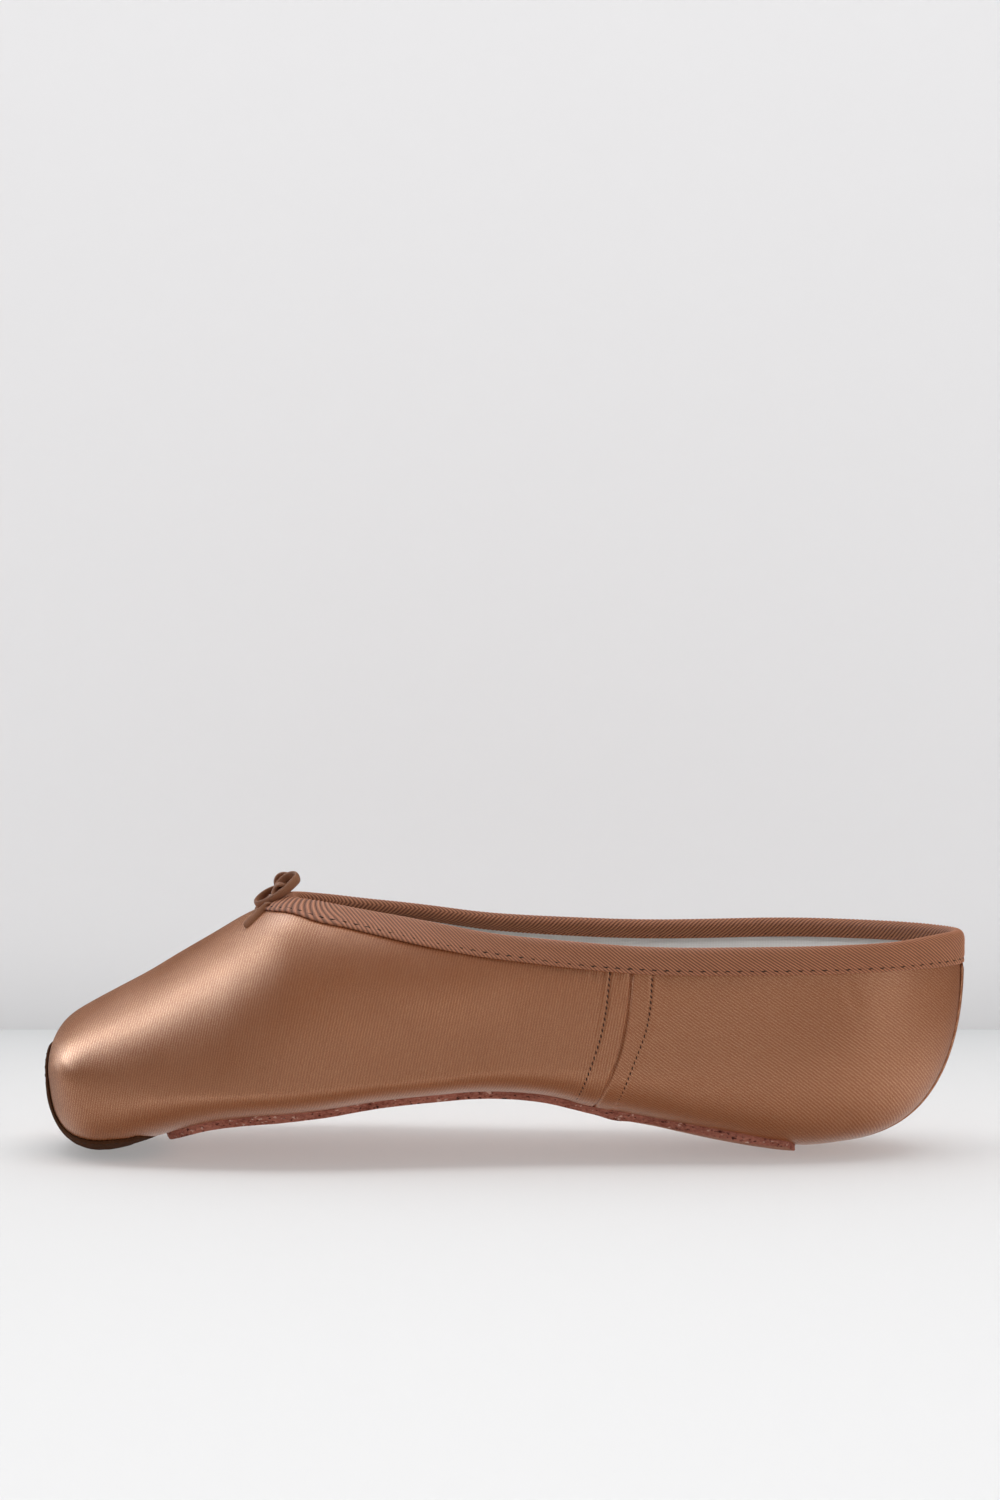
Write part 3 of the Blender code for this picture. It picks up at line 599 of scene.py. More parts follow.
nappedLooks = {  # suede, split leather, raw edges and thread; flecks: scale, low, high and colour
    # the stitches: the thread's own dark brown, made darker still as painted shade in the stitch holes
    "stitchThreadAndShade": {
        "colour": (0.045, 0.017, 0.009), "dark": (0.022, 0.008, 0.005), "light": (0.075, 0.032, 0.017),
        "roughness": 0.7, "fineness": 3.0, "relief": 0.03},
    "toeSuede": {
        "colour": (0.070, 0.026, 0.011), "dark": (0.045, 0.015, 0.006), "light": (0.11, 0.045, 0.020),
        "roughness": 0.95, "fineness": 2.6, "relief": 0.12, "specular": 0.05, "sheen": 0.06},
    "rawSoleEdge": {
        "colour": (0.42, 0.135, 0.088), "dark": (0.17, 0.042, 0.026), "light": (0.72, 0.31, 0.225),
        "roughness": 0.92, "fineness": 1.5, "relief": 0.3, "stretch": (0.7, 0.7, 1.3),
        "flecks": ((1.3, 0.60, 0.68, (0.07, 0.018, 0.012)), (1.0, 0.64, 0.70, (0.75, 0.48, 0.38)))},
    "soleUnderside": {
        "colour": (0.40, 0.185, 0.125), "dark": (0.28, 0.12, 0.075), "light": (0.52, 0.27, 0.19),
        "roughness": 0.85, "fineness": 1.2, "relief": 0.10, "specular": 0.08, "sheen": 0.12},
}


def makeNapped(name):
    values = {"specular": 0.2, "sheen": 0.3, "stretch": (1.0, 1.0, 1.0), "flecks": (), **nappedLooks[name]}
    material, tree, shader = newMaterial(name, values["roughness"], values["specular"], values["sheen"],
                                         values["light"])
    place = millimetres(tree, "object", stretch=values["stretch"])
    fibres = placeGroup(tree, looseFibres, Vector=place, Fineness=values["fineness"], Blotches=0.12)
    share = rangeNode(tree, fibres["Tone"], 0.35, 0.65)
    tone = mixColour(tree, share, rgba(values["dark"]), rgba(values["light"]))
    base = mixColour(tree, 0.6, rgba(values["colour"]), tone)
    for scale, low, high, fleck in values["flecks"]:
        base = mixColour(tree, rangeNode(tree, noiseNode(tree, place, scale, 2.0), low, high), base, rgba(fleck))
    setInput(tree, shader["Base Color"], base)
    bumpTo(tree, shader, fibres["Height"], values["relief"])
    return material


cottonLooks = {
    "liningCotton": {"colour": (0.86, 0.85, 0.84), "dark": (0.68, 0.67, 0.66), "pitch": 0.7, "relief": 0.05,
                     "turn": (90.0, 0.0, 0.0)},
    "insoleCotton": {"colour": (0.55, 0.53, 0.49), "dark": (0.40, 0.38, 0.34), "pitch": 0.8, "relief": 0.06,
                     "turn": (0.0, 0.0, 0.0)},
}


def makeCotton(name):
    values = cottonLooks[name]
    material, tree, shader = newMaterial(name, 0.9, specular=0.2, sheen=0.2)
    cloth = millimetres(tree, "object", values["turn"])
    weave = placeGroup(tree, crossedThreads, Vector=cloth, Slant=0.0, Warp_Pitch=values["pitch"],
                       Weft_Pitch=values["pitch"], Weft_Share=0.5, Unevenness=0.4)
    fibres = placeGroup(tree, looseFibres, Vector=cloth, Fineness=2.5, Blotches=0.08)
    share = mathNode(tree, "MULTIPLY_ADD", weave["Height"], 0.35, mathNode(tree, "MULTIPLY", fibres["Tone"], 0.5))
    setInput(tree, shader["Base Color"], mixColour(tree, share, rgba(values["colour"]), rgba(values["dark"])))
    bumpTo(tree, shader, weave["Height"], values["relief"])
    return material


satin, twill = makeSatin(satinLook), makeTwill("collarTwill", twillLook, True)
cordCotton = makeTwill("drawstringCotton", cordLook, False)
thread, suede, soleEdge, soleUnder = (makeNapped(name) for name in nappedLooks)
liningCotton, sockCotton = (makeCotton(name) for name in cottonLooks)
print("materials made")

# The drawstring comes first: two ends of one cotton cord, each with its loop, held by the knot.

cordSet = {
    "diameter": 2.35, "flatten": 0.45, "sides": 16, "step": 0.25,
    "bendReach": 1.6, "bendPull": 0.35,   # the flat way follows the bends this far off, this readily
    "endTaper": 0.4, "unevenness": 0.03, "unevenLength": 4.0,
    "near": (  # x, y, height over the satin: out of the tape's roll, round both loops, through the knot to its end
        (61.4, -0.3, 0.8), (60.4, 0.3, 1.6), (59.1, 0.9, 2.6), (57.9, 1.2, 3.2), (56.4, 0.9, 3.1), (54.9, 0.1, 2.8),
        (53.7, -1.2, 2.1), (53.3, -2.6, 1.7), (54.1, -4.0, 1.3), (55.6, -4.6, 1.3), (57.4, -4.9, 1.5),
        (59.1, -4.9, 2.1), (60.9, -4.6, 3.0), (62.4, -3.8, 4.2), (63.5, -2.2, 5.2), (63.3, -0.6, 5.6),
        (61.9, 0.5, 5.6), (60.4, 0.8, 5.1), (59.1, 0.4, 4.2), (58.5, -0.8, 3.3), (57.9, -2.4, 2.3),
        (56.9, -4.0, 1.2), (55.9, -6.5, 0.8), (54.6, -8.8, 0.6), (53.0, -11.1, 0.55), (51.0, -13.4, 0.55)),
    "far": (
        (61.9, 1.0, 0.8), (60.6, 1.8, 1.6), (59.1, 2.6, 2.5), (58.1, 3.2, 3.6), (57.9, 3.6, 5.0), (58.6, 3.8, 6.0),
        (60.0, 3.7, 6.0), (61.4, 3.2, 5.3), (61.7, 2.4, 4.2), (60.9, 1.4, 3.3), (59.6, 0.4, 2.9), (58.6, 0.8, 2.5),
        (57.7, 2.6, 2.0), (57.0, 4.8, 1.6), (56.3, 7.2, 1.2), (55.2, 9.6, 0.8), (53.9, 11.8, 0.6), (52.4, 13.8, 0.6)),
    "knot": (59.1, -1.0, 2.9),
    "knotRadius": 1.15, "knotReach": 1.2, "knotTurns": 1.7,
}


def smoothRoute(places, step):
    along = lengthsAlong(places)
    count = int(round(along[-1] / step))
    wanted = np.linspace(0.0, along[-1], count + 1)
    route = np.stack([curveThrough(along, places[:, k], wanted) for k in range(3)], axis=-1)
    for _ in range(6):
        route[1:-1] = (route[:-2] + 2.0 * route[1:-1] + route[2:]) / 4.0
    return route


def overSatin(places):
    places = np.array(places, float)
    places[:, 2] += surfaceHeight(places[:, 0], places[:, 1], 1)
    return places


def addCord(name, route, values, material):
    # a soft flat cord: it bends over its thin way, so that way follows the bend of the route
    steps = np.gradient(route, axis=0)
    ahead = steps / np.linalg.norm(steps, axis=1, keepdims=True)
    bends = np.gradient(ahead, axis=0)
    spread = int(values["bendReach"] / values["step"])
    thin, frames = np.array([0.0, 0.0, 1.0]), []
    for k, direction in enumerate(ahead):
        near = bends[max(k - spread, 0):k + spread + 1].sum(0)
        near = near if near.dot(thin) > 0.0 else -near
        thin = thin + values["bendPull"] * near / (np.linalg.norm(near) + 0.05)
        thin = thin - direction * thin.dot(direction)
        thin = thin / np.linalg.norm(thin)
        frames.append((thin, np.cross(direction, thin)))
    thins, wides = (np.array(f) for f in zip(*frames))
    along = lengthsAlong(route)
    turn = np.linspace(0.0, 2.0 * math.pi, values["sides"], endpoint=False)[None]
    toEnd = np.minimum(along, along[-1] - along) / (values["diameter"] / 2.0)
    taper = mix(values["endTaper"], 1.0, quarterRound(toEnd))[:, None]
    uneven = values["unevenness"] * wobble(along[:, None], 2.0 * turn, 61, values["unevenLength"])
    radius = values["diameter"] / 2.0 * taper * (1.0 + uneven)
    points = (route[:, None] + wides[:, None] * (radius * np.cos(turn))[..., None]
              + thins[:, None] * (radius * values["flatten"] * np.sin(turn))[..., None])
    rows, sides = points.shape[:2]
    faces = gridFaces(rows, sides, closeColumns=True).tolist()
    faces += [list(range(sides))[::-1], [(rows - 1) * sides + j for j in range(sides)]]
    piece = addPiece(name, points, faces, [material])
    u = np.repeat(along, sides)
    addUv(piece, [(u[v], (v % sides) * values["diameter"] * math.pi / sides) for face in faces for v in face])
    return piece


def makeDrawstring(values):
    routes = {side: smoothRoute(overSatin(values[side]), values["step"]) for side in ("near", "far")}
    centre = overSatin([values["knot"]])[0]
    turn = np.linspace(0.0, 2.0 * math.pi * values["knotTurns"], 40) + 0.6
    side = np.linspace(-1.0, 1.0, len(turn)) * values["knotReach"]
    wrap = centre + np.stack([values["knotRadius"] * np.cos(turn), side, values["knotRadius"] * np.sin(turn)], -1)
    knot = ridesOn(addCord("drawstringKnot", wrap, values, cordCotton), "collar_twill", "drawstring_knot")
    for side, route in routes.items():
        cord = addCord(f"drawstring{side.capitalize()}", route, values, cordCotton)
        ridesOn(cord, "collar_twill", f"drawstring_loop_{side}", f"drawstring_tail_{side}")
        path = modelPoints(route)
        float(lengthsAlong(path)[-1])


makeDrawstring(cordSet)
print("drawstring tied")

# The satin upper, laid over the last with its seams, tucks and folds

satinSet = {
    "columnStep": 0.98, "seamStep": 0.27, "rows": 86, "thickness": 0.4, "innerEvery": 3,
    "seamRaise": 0.22, "seamShoulder": 1.9, "seamGroove": 0.7, "grooveHalfWidth": 0.5, "groovePower": 0.7,
    "stitchSink": 0.2, "stitchSinkHalfWidth": 0.8, "stitchRipple": 0.03, "stitchRippleHalfWidth": 1.8,
    "tuckDepth": 0.5, "tuckPitch": 3.4, "tuckWidth": 0.32, "tuckPower": 1.5, "tuckLean": 0.25,
    "tuckReach": 13.0, "tuckFade": 9.0,   # how far up from the sole the tucks go, and fade over
    "tuckEnd": 0.75, "heelTuckStart": 2.35, "tuckBlend": 0.15, "heelTuckShare": 0.5,
    "pucker": 0.035, "puckerDrop": 7.4, "puckerHalfWidth": 2.6,
    "unevenness": 0.10, "unevenLength": 46.0,
    "quarterSlant": -1.16,   # the quarters are cut on another slant than the vamp
    "swellStart": (2.2, 6.5), "swellEnd": (24.0, 17.0),   # length up from the sole, and how soon it changes
    "swell": ((12, 0.0), (20, 0.3), (30, 0.8), (45, 1.0), (62, 0.9), (85, 0.5), (115, 0.15), (140, 0.3), (160, 0.7),
              (178, 0.8), (192, 0.5), (206, 0.0)),   # x, how far the satin hangs over the sole's edge
}
seamLines = {  # height, x: the joined edges and the row of stitches on either side of them
    "middle": ((6.0, 133.7), (14.7, 137.9), (31.4, 143.9), (47.5, 146.1), (54.0, 146.5)),
    "front": ((7.0, 128.9), (16.0, 132.9), (22.5, 135.4), (33.0, 138.8), (47.5, 140.8), (54.0, 141.3)),
    "back": ((5.0, 137.8), (12.6, 141.7), (24.4, 146.3), (33.8, 149.7), (46.8, 151.2), (54.0, 151.5)),
}
folds = (  # side (-1 near, 1 far), half width, depth (under 0 is a ridge) and x, height along it
    (-1, 9.0, 0.22, ((66, 50), (76, 41), (88, 32), (100, 24))),
    (-1, 6.0, -0.10, ((76, 52), (88, 43), (100, 33))),
    (-1, 8.0, 0.24, ((119, 44), (115, 34), (112, 24))),
    (-1, 2.2, 0.16, ((166, 47), (166.5, 41), (168, 35))),
    (-1, 2.0, -0.12, ((171, 47), (171.5, 41), (173.5, 34))),
    (-1, 2.2, 0.15, ((177, 47), (178, 40), (180, 33))),
    (-1, 2.0, 0.12, ((187, 47), (188.5, 41), (191, 35))),
    (-1, 2.6, 0.14, ((198, 47), (200, 41), (203, 36))),
    (-1, 3.0, 0.22, ((196, 8), (204, 12), (213, 18))),
    (-1, 4.5, 0.20, ((156, 16), (166, 22), (177, 26))),
    (1, 9.0, 0.22, ((64, 50), (75, 41), (88, 31), (100, 24))),
    (1, 6.0, -0.10, ((72, 54), (85, 44), (98, 35))),
    (1, 8.0, 0.24, ((122, 44), (117, 33), (115, 24))),
    (1, 2.2, 0.15, ((163, 47), (164, 41), (166, 34))),
    (1, 2.2, 0.15, ((175, 47), (176.5, 40), (179, 32))),
    (1, 2.4, 0.13, ((190, 47), (192, 41), (195, 35))),
    (1, 3.0, 0.22, ((199, 9), (207, 13), (214, 20))),
)


def seamX(line, z):
    return tableCurve(seamLines[line], z)


def foldDepth(points, side, values):
    total = np.zeros(side.shape)
    for foldSide, halfWidth, depth, places in values:
        line = smoothRoute(np.array([(x, z, 0.0) for x, z in places], float), 1.0)[:, :2]
        away = np.full(side.shape, 1e9)
        where = np.zeros(side.shape)
        for k, spot in enumerate(line):
            distance = np.hypot(points[..., 0] - spot[0], points[..., 2] - spot[1])
            where = np.where(distance < away, k / (len(line) - 1.0), where)
            away = np.minimum(away, distance)
        ends = smoothstep(np.minimum(where, 1.0 - where) * 3.0 + 0.08)
        total += depth * bump(away / halfWidth) * ends * (side == foldSide)
    return total


def satinRelief(points, side, drop, rise, footArc, p, values):
    # how far the satin stands out: its seam, folds, tucks at both ends, the tape's pull and the swell
    x, z = points[..., 0], points[..., 2]
    front, middle, back = (seamX(line, z) for line in ("front", "middle", "back"))
    shoulder, blend = values["seamShoulder"], values["tuckBlend"]
    relief = values["seamRaise"] * smoothstep((x - front + shoulder) / shoulder) * \
        smoothstep((back + shoulder - x) / shoulder)
    relief -= values["seamGroove"] * bump((x - middle) / values["grooveHalfWidth"]) ** values["groovePower"]
    ripple = values["stitchRipple"] * np.cos(2.0 * math.pi * z / stitchSet["seam"]["pitch"])
    for row in (front, back):
        relief -= values["stitchSink"] * bump((x - row) / values["stitchSinkHalfWidth"])
        relief += ripple * bump((x - row) / values["stitchRippleHalfWidth"])
    relief -= foldDepth(points, side, folds)
    tuck = (footArc / values["tuckPitch"]) % 1.0
    groove = np.clip(1.0 - tuck / values["tuckWidth"], 0.0, 1.0) ** values["tuckPower"] + values["tuckLean"] * tuck
    under = smoothstep((values["tuckReach"] - rise) / values["tuckFade"])
    relief -= values["tuckDepth"] * groove * under * smoothstep((values["tuckEnd"] - p) / blend)
    heelDepth = values["heelTuckShare"] * values["tuckDepth"]
    relief -= heelDepth * groove * under * smoothstep((p - values["heelTuckStart"]) / blend)
    pucker = np.cos(2.0 * math.pi * x / stitchSet["collar"]["pitch"])
    relief += values["pucker"] * pucker * bump((drop - values["puckerDrop"]) / values["puckerHalfWidth"])
    relief += values["unevenness"] * wobble(x, z + 7.0 * side, 5, values["unevenLength"])
    (start, soon), (end, late) = values["swellStart"], values["swellEnd"]
    swell = tableCurve(values["swell"], x) * smoothstep((rise - start) / soon) * smoothstep((end - rise) / late)
    return relief + swell


toePatchSet = {
    "centre": (22.0, 15.0), "rows": 110, "columns": 84, "thickness": 0.6, "gap": 0.15, "ragged": 0.14,
    "outline": ((-128, 13.0), (-121, 18.0), (-112, 20.3), (-90, 20.5), (-60, 19.6), (-43, 17.8), (-33, 15.2),
                (-23, 12.6), (-10, 11.2), (12, 10.6), (22, 8.4), (29, 4.0)),   # angle from the centre, half width
    "raggedPower": 6, "tooth": 0.14, "toothPitch": 1.7,
    "edgeWidth": 0.9, "edgeShare": 0.45,   # the edge rounds off this far in, from this share of the thickness
    "nap": ((0.035, 33, 2.3), (0.05, 34, 9.0)),   # height, seed, length
}


def girthFromRidge(points):
    # length over the last, from the ridge down the side, in the upright plane across each point
    xs, angles = np.linspace(2.0, 226.0, 113), np.linspace(90.0, -90.0, 91)
    turn, wide = np.radians(angles)[:, None], alongLast(2, xs)

    def at(distance):
        return stack3(xs, -np.cos(turn) * distance, wide + np.sin(turn) * distance)

    girth = lengthsAlong(onSatin(at, (len(angles), len(xs))))
    x = np.clip(points[..., 0], xs[0], xs[-1])
    seen = np.degrees(np.arctan2(points[..., 2] - alongLast(2, x), np.abs(points[..., 1])))
    i = (x - xs[0]) / (xs[1] - xs[0])
    j = np.clip((90.0 - seen) / (angles[0] - angles[1]), 0.0, len(angles) - 1.0)
    i0, j0 = np.minimum(i.astype(int), len(xs) - 2), np.minimum(j.astype(int), len(angles) - 2)
    s, t = i - i0, j - j0
    return ((girth[j0, i0] * (1 - t) + girth[j0 + 1, i0] * t) * (1 - s)
            + (girth[j0, i0 + 1] * (1 - t) + girth[j0 + 1, i0 + 1] * t) * s)


def satinGrid(p, rows):
    foot, head = rimAngles(p)
    fine = mix(foot, head, np.linspace(0.0, 1.0, fineSteps)[:, None])
    angle = eachColumn(np.linspace(0.0, 1.0, rows), shareAlong(cast(p, fine)), fine)
    points = cast(p, angle)
    rise = lengthsAlong(points)
    return points, normalsAt(points), rise, rise[-1] - rise


def makeSatinUpper(values):
    p = spreadColumns(values["columnStep"], values["seamStep"])
    points, normals, rise, drop = satinGrid(p, values["rows"])
    level = lengthsAlong(cast(p, 0.0 * p))
    footArc = lengthsAlong(points[4])
    points, normals, rise, drop = (bothSides(grid) for grid in (points, normals, rise, drop))
    rows, count = drop.shape
    half = len(p)
    side = np.where(np.arange(count) < half, -1.0, 1.0) + 0.0 * drop
    places, footArcs, level = (bothSides(line[None] + 0.0 * drop[:, :half]) for line in (p, footArc, level))
    relief = satinRelief(points, side, drop, rise, footArcs, places, values)
    outer = points + normals * relief[..., None]
    back = slice(None, None, -values["innerEvery"])
    inner = outer[back] - normals[back] * values["thickness"]
    faces = gridFaces(rows + len(inner), count, closeRows=True, closeColumns=True)
    piece = addPiece("satinUpper", np.concatenate([outer, inner]), faces, [satin])
    everyRow = np.concatenate([np.arange(rows), np.arange(rows)[back]])
    girth = girthFromRidge(points)[everyRow].ravel()
    flat = points[everyRow].reshape(-1, 3)
    faceSide = np.where((faces % count).max(axis=1) < half, -1.0, 1.0)
    faceSide[(faces % count == 0).any(axis=1) & ((faces % count).max(axis=1) == count - 1)] = 1.0
    centre = flat[faces].mean(axis=1)
    quarter = (centre[:, 0] > seamX("middle", centre[:, 2]))[:, None]
    vampU, vampV = flat[faces][..., 0], girth[faces] * faceSide[:, None]
    arc, down = level[everyRow].ravel()[faces], drop[everyRow].ravel()[faces]
    along, across = math.cos(values["quarterSlant"]), math.sin(values["quarterSlant"])
    quarterU = arc * along - down * across * faceSide[:, None]
    quarterV = arc * across + down * along * faceSide[:, None]
    addUv(piece, np.stack([np.where(quarter, quarterU, vampU), np.where(quarter, quarterV, vampV)], axis=-1))
    return ridesOn(piece, "satin", "upper")


# Stitches, by Geometry Nodes: each lies along a line of points and faces out of the cloth

stitchSet = {
    "collar": {"pitch": 3.0, "length": 1.5, "width": 0.42, "height": 0.32, "slant": 0.0, "drop": 5.4},
    "inner": {"pitch": 3.0, "length": 1.5, "width": 0.36, "height": 0.30, "slant": 0.0, "drop": 2.0},
    "seam": {"pitch": 1.4, "length": 1.0, "width": 0.38, "height": 0.28, "slant": 0.4},
    "toe": {"pitch": 2.1, "length": 1.2, "width": 0.32, "height": 0.30, "slant": 0.3, "inset": 1.3},
}


def makeStitchTree():
    tree = bpy.data.node_groups.new("stitchRow", "GeometryNodeTree")
    sizes = [(label, "Float") for label in ("Pitch", "Length", "Width", "Height", "Slant")]
    for label, kind in (("Geometry", "Geometry"), *sizes, ("Seed", "Int"), ("Material", "Material")):
        tree.interface.new_socket(name=label, in_out="INPUT", socket_type="NodeSocket" + kind)
    tree.interface.new_socket(name="Geometry", in_out="OUTPUT", socket_type="NodeSocketGeometry")
    given, result = tree.nodes.new("NodeGroupInput").outputs, tree.nodes.new("NodeGroupOutput").inputs
    line = addNode(tree, "GeometryNodeMeshToCurve", {"Mesh": given["Geometry"]})["Curve"]
    spaced = addNode(tree, "GeometryNodeResampleCurve", {"Curve": line, "Length": given["Pitch"]}, mode="LENGTH")
    outward = addNode(tree, "GeometryNodeInputNamedAttribute", {"Name": "outward"}, data_type="FLOAT_VECTOR")
    tangent = addNode(tree, "GeometryNodeInputTangent")["Tangent"]
    facing = addNode(tree, "FunctionNodeAxesToRotation",
                     {"Primary Axis": outward["Attribute"], "Secondary Axis": tangent},
                     primary_axis="Z", secondary_axis="X")["Rotation"]
    change = addNode(tree, "FunctionNodeRandomValue", {2: -0.07, 3: 0.07, "Seed": given["Seed"]}, data_type="FLOAT")
    lean = mathNode(tree, "ADD", given["Slant"], change[1])
    spin = addNode(tree, "FunctionNodeAxisAngleToRotation", {"Axis": (0.0, 0.0, 1.0), "Angle": lean})["Rotation"]
    turned = addNode(tree, "FunctionNodeRotateRotation", {"Rotation": facing, "Rotate By": spin},
                     rotation_space="LOCAL")["Rotation"]
    dash = addNode(tree, "GeometryNodeMeshUVSphere", {"Segments": 8, "Rings": 6, "Radius": 0.5})["Mesh"]
    size = addNode(tree, "ShaderNodeCombineXYZ", {0: given["Length"], 1: given["Width"], 2: given["Height"]})
    sized = addNode(tree, "GeometryNodeTransform", {"Geometry": dash, "Scale": size["Vector"]})["Geometry"]
    placed = addNode(tree, "GeometryNodeInstanceOnPoints",
                     {"Points": spaced["Curve"], "Instance": sized, "Rotation": turned})["Instances"]
    real = addNode(tree, "GeometryNodeRealizeInstances", {"Geometry": placed})["Geometry"]
    coloured = addNode(tree, "GeometryNodeSetMaterial", {"Geometry": real, "Material": given["Material"]})
    setInput(tree, result["Geometry"], coloured["Geometry"])
    return tree


stitchTree = makeStitchTree()


def addStitches(name, slot, lines, values, seed):
    # lines: for each row its points, the way out of the cloth at each and whether it is a ring
    points, outward, edges = [], [], []
    for line, out, ring in lines:
        start = len(points)
        points += modelPoints(line).tolist()
        outward += out.tolist()
        edges += [(start + k, start + k + 1) for k in range(len(line) - 1)]
        if ring:
            edges.append((start + len(line) - 1, start))
    guide = bpy.data.meshes.new(name + "Guide")
    guide.from_pydata(points, edges, [])
    guide.attributes.new("outward", "FLOAT_VECTOR", "POINT").data.foreach_set(
        "vector", np.array(outward, np.float32).ravel())
    carrier = addObject(name + "Guide", guide)
    modifier = carrier.modifiers.new("Stitches", "NODES")
    modifier.node_group = stitchTree
    wanted = {size.capitalize(): values[size] * mm for size in ("pitch", "length", "width", "height")}
    wanted.update({"Slant": values["slant"], "Seed": seed, "Material": thread})
    for item in stitchTree.interface.items_tree:
        if item.in_out == "INPUT" and item.name in wanted:
            modifier[item.identifier] = wanted[item.name]
    evaluated = carrier.evaluated_get(bpy.context.evaluated_depsgraph_get())
    mesh = bpy.data.meshes.new_from_object(evaluated)
    mesh.name = name
    bpy.data.objects.remove(carrier, do_unlink=True)
    mesh.shade_smooth()
    return ridesOn(addObject(name, mesh), slot)


# The collar tape: a herringbone ribbon folded over the raw edge and rolled round the drawstring

tapeSet = {
    "outerLeg": 6.5, "innerLeg": 2.9, "rollRadius": 1.6, "crown": 0.32, "crownReach": 3.2,
    "nearSag": 1.0, "sagFrom": (4.0, 28.0), "sagEnd": (8.0, 22.0),   # from the throat, and before the heel
    "longerLeg": (  # length round the collar from the throat's middle, how much longer the outer leg is there
        (0.0, 1.2), (6.0, 1.4), (12.0, 2.3), (20.0, 2.8), (30.0, 2.8), (40.0, 2.2), (50.0, 1.2), (62.0, 0.3),
        (75.0, 0.0), (200.0, 0.0)),
    "thickness": 0.62, "gap": 0.12, "unevenness": 0.10, "unevenLength": 31.0,
    "ribPitch": 1.12, "samples": (0.0, 0.6, 1.0, 0.85, 0.35), "ribHeight": 0.2,
    "slant": 1.15, "throatSlant": 0.65, "steepReach": 45.0,   # the ribs stand steeper round the throat
    "stitchSink": 0.16, "stitchSinkHalfWidth": 0.9,
}


def tapeProfile(values):
    # drop below the raw edge, height over the satin, share of the ribs' height and of the stitch's pull
    wall, thick, gap, radius = last["wall"], values["thickness"], values["gap"], values["rollRadius"]
    outer, inner, middle = gap + thick, -(wall + gap + thick), -wall / 2.0
    leg, innerLeg = values["outerLeg"], values["innerLeg"]

    def crown(drop):
        return values["crown"] * smoothstep(1.0 - drop / values["crownReach"])

    rows = [(leg, gap + 0.1, 0.0), (leg + 0.08, gap + 0.3, 0.3), (leg - 0.05, outer - 0.08, 0.8)]
    rows += [(drop, outer + crown(drop), 1.0) for drop in np.linspace(leg - 0.5, 0.6, 9)]
    rows += [(-radius * math.sin(turn), middle + radius * math.cos(turn), 1.0)
             for turn in np.linspace(0.05, math.pi - 0.05, 13)]
    rows += [(drop, inner - crown(drop), 1.0) for drop in np.linspace(0.6, innerLeg - 0.5, 8)]
    rows += [(innerLeg - 0.05, inner + 0.08, 0.8), (innerLeg + 0.08, -(wall + gap) - 0.3, 0.3),
             (innerLeg, -(wall + gap) - 0.1, 0.0)]
    rows += [(drop, -(wall + gap), 0.0) for drop in (innerLeg - 1.2, 2.0, 0.3)]
    rows += [(-gap - 0.1, middle, 0.0)] + [(drop, gap, 0.0) for drop in (0.3, 2.0, leg - 1.2)]
    return np.array(rows)


def collarEdge():
    # places round the collar against the length of the raw edge
    p = np.linspace(0.0, 3.0, 721)
    edge = cast(p, rimAngles(p)[1])
    return p, lengthsAlong(edge)


def aroundCollar(t, drop, out):
    # points at lengths t round the collar from the throat, drop below the raw edge and out from the satin
    p, length = collarEdge()
    whole = 2.0 * length[-1]
    t = t % whole
    far = t > length[-1]
    place = np.interp(np.where(far, whole - t, t), length, p)
    drops = np.array([0.0, 0.4, *np.linspace(1.0, 11.0, 11)])
    angles = anglesBelowCollar(p, drops)
    below = np.clip(drop, 0.0, None) + 0.0 * t
    k = np.clip(np.searchsorted(drops, below, side="right") - 1, 0, len(drops) - 2)
    share = (below - drops[k]) / (drops[k + 1] - drops[k])
    table = np.stack([np.interp(place, p, angles[i]) for i in range(len(drops))])
    before, after = (np.take_along_axis(table, k[None] + step, 0)[0] for step in (0, 1))
    angle = before * (1 - share) + after * share
    head, under = cast(place, table[0]), cast(place, table[1])
    up = (head - under) / np.linalg.norm(head - under, axis=-1, keepdims=True)
    points = cast(place, angle)
    normals = normalsAt(points)
    points = points + normals * (out + 0.0 * t)[..., None] - up * np.minimum(drop + 0.0 * t, 0.0)[..., None]
    mirror = np.where(far, -1.0, 1.0)
    points[..., 1] *= mirror
    normals[..., 1] *= mirror
    return points, normals, whole


def tapeDrop(values, t, whole, drop, outer):
    # the outer leg is longer round the throat, and away from it the near side's roll sits a little lower
    t = t % whole
    leg, (start, full), (end, fade) = (values[name] for name in ("outerLeg", "sagFrom", "sagEnd"))
    longer = tableCurve(values["longerLeg"], np.minimum(t, whole - t)) / leg
    side = ramp(t, start, full) * smoothstep((whole / 2.0 - end - t) / fade)
    drop = np.where((drop > 0.0) & outer, drop * (1.0 + longer), drop)
    return drop + values["nearSag"] * side * (1.0 - np.clip(drop / leg, 0.0, 1.0))


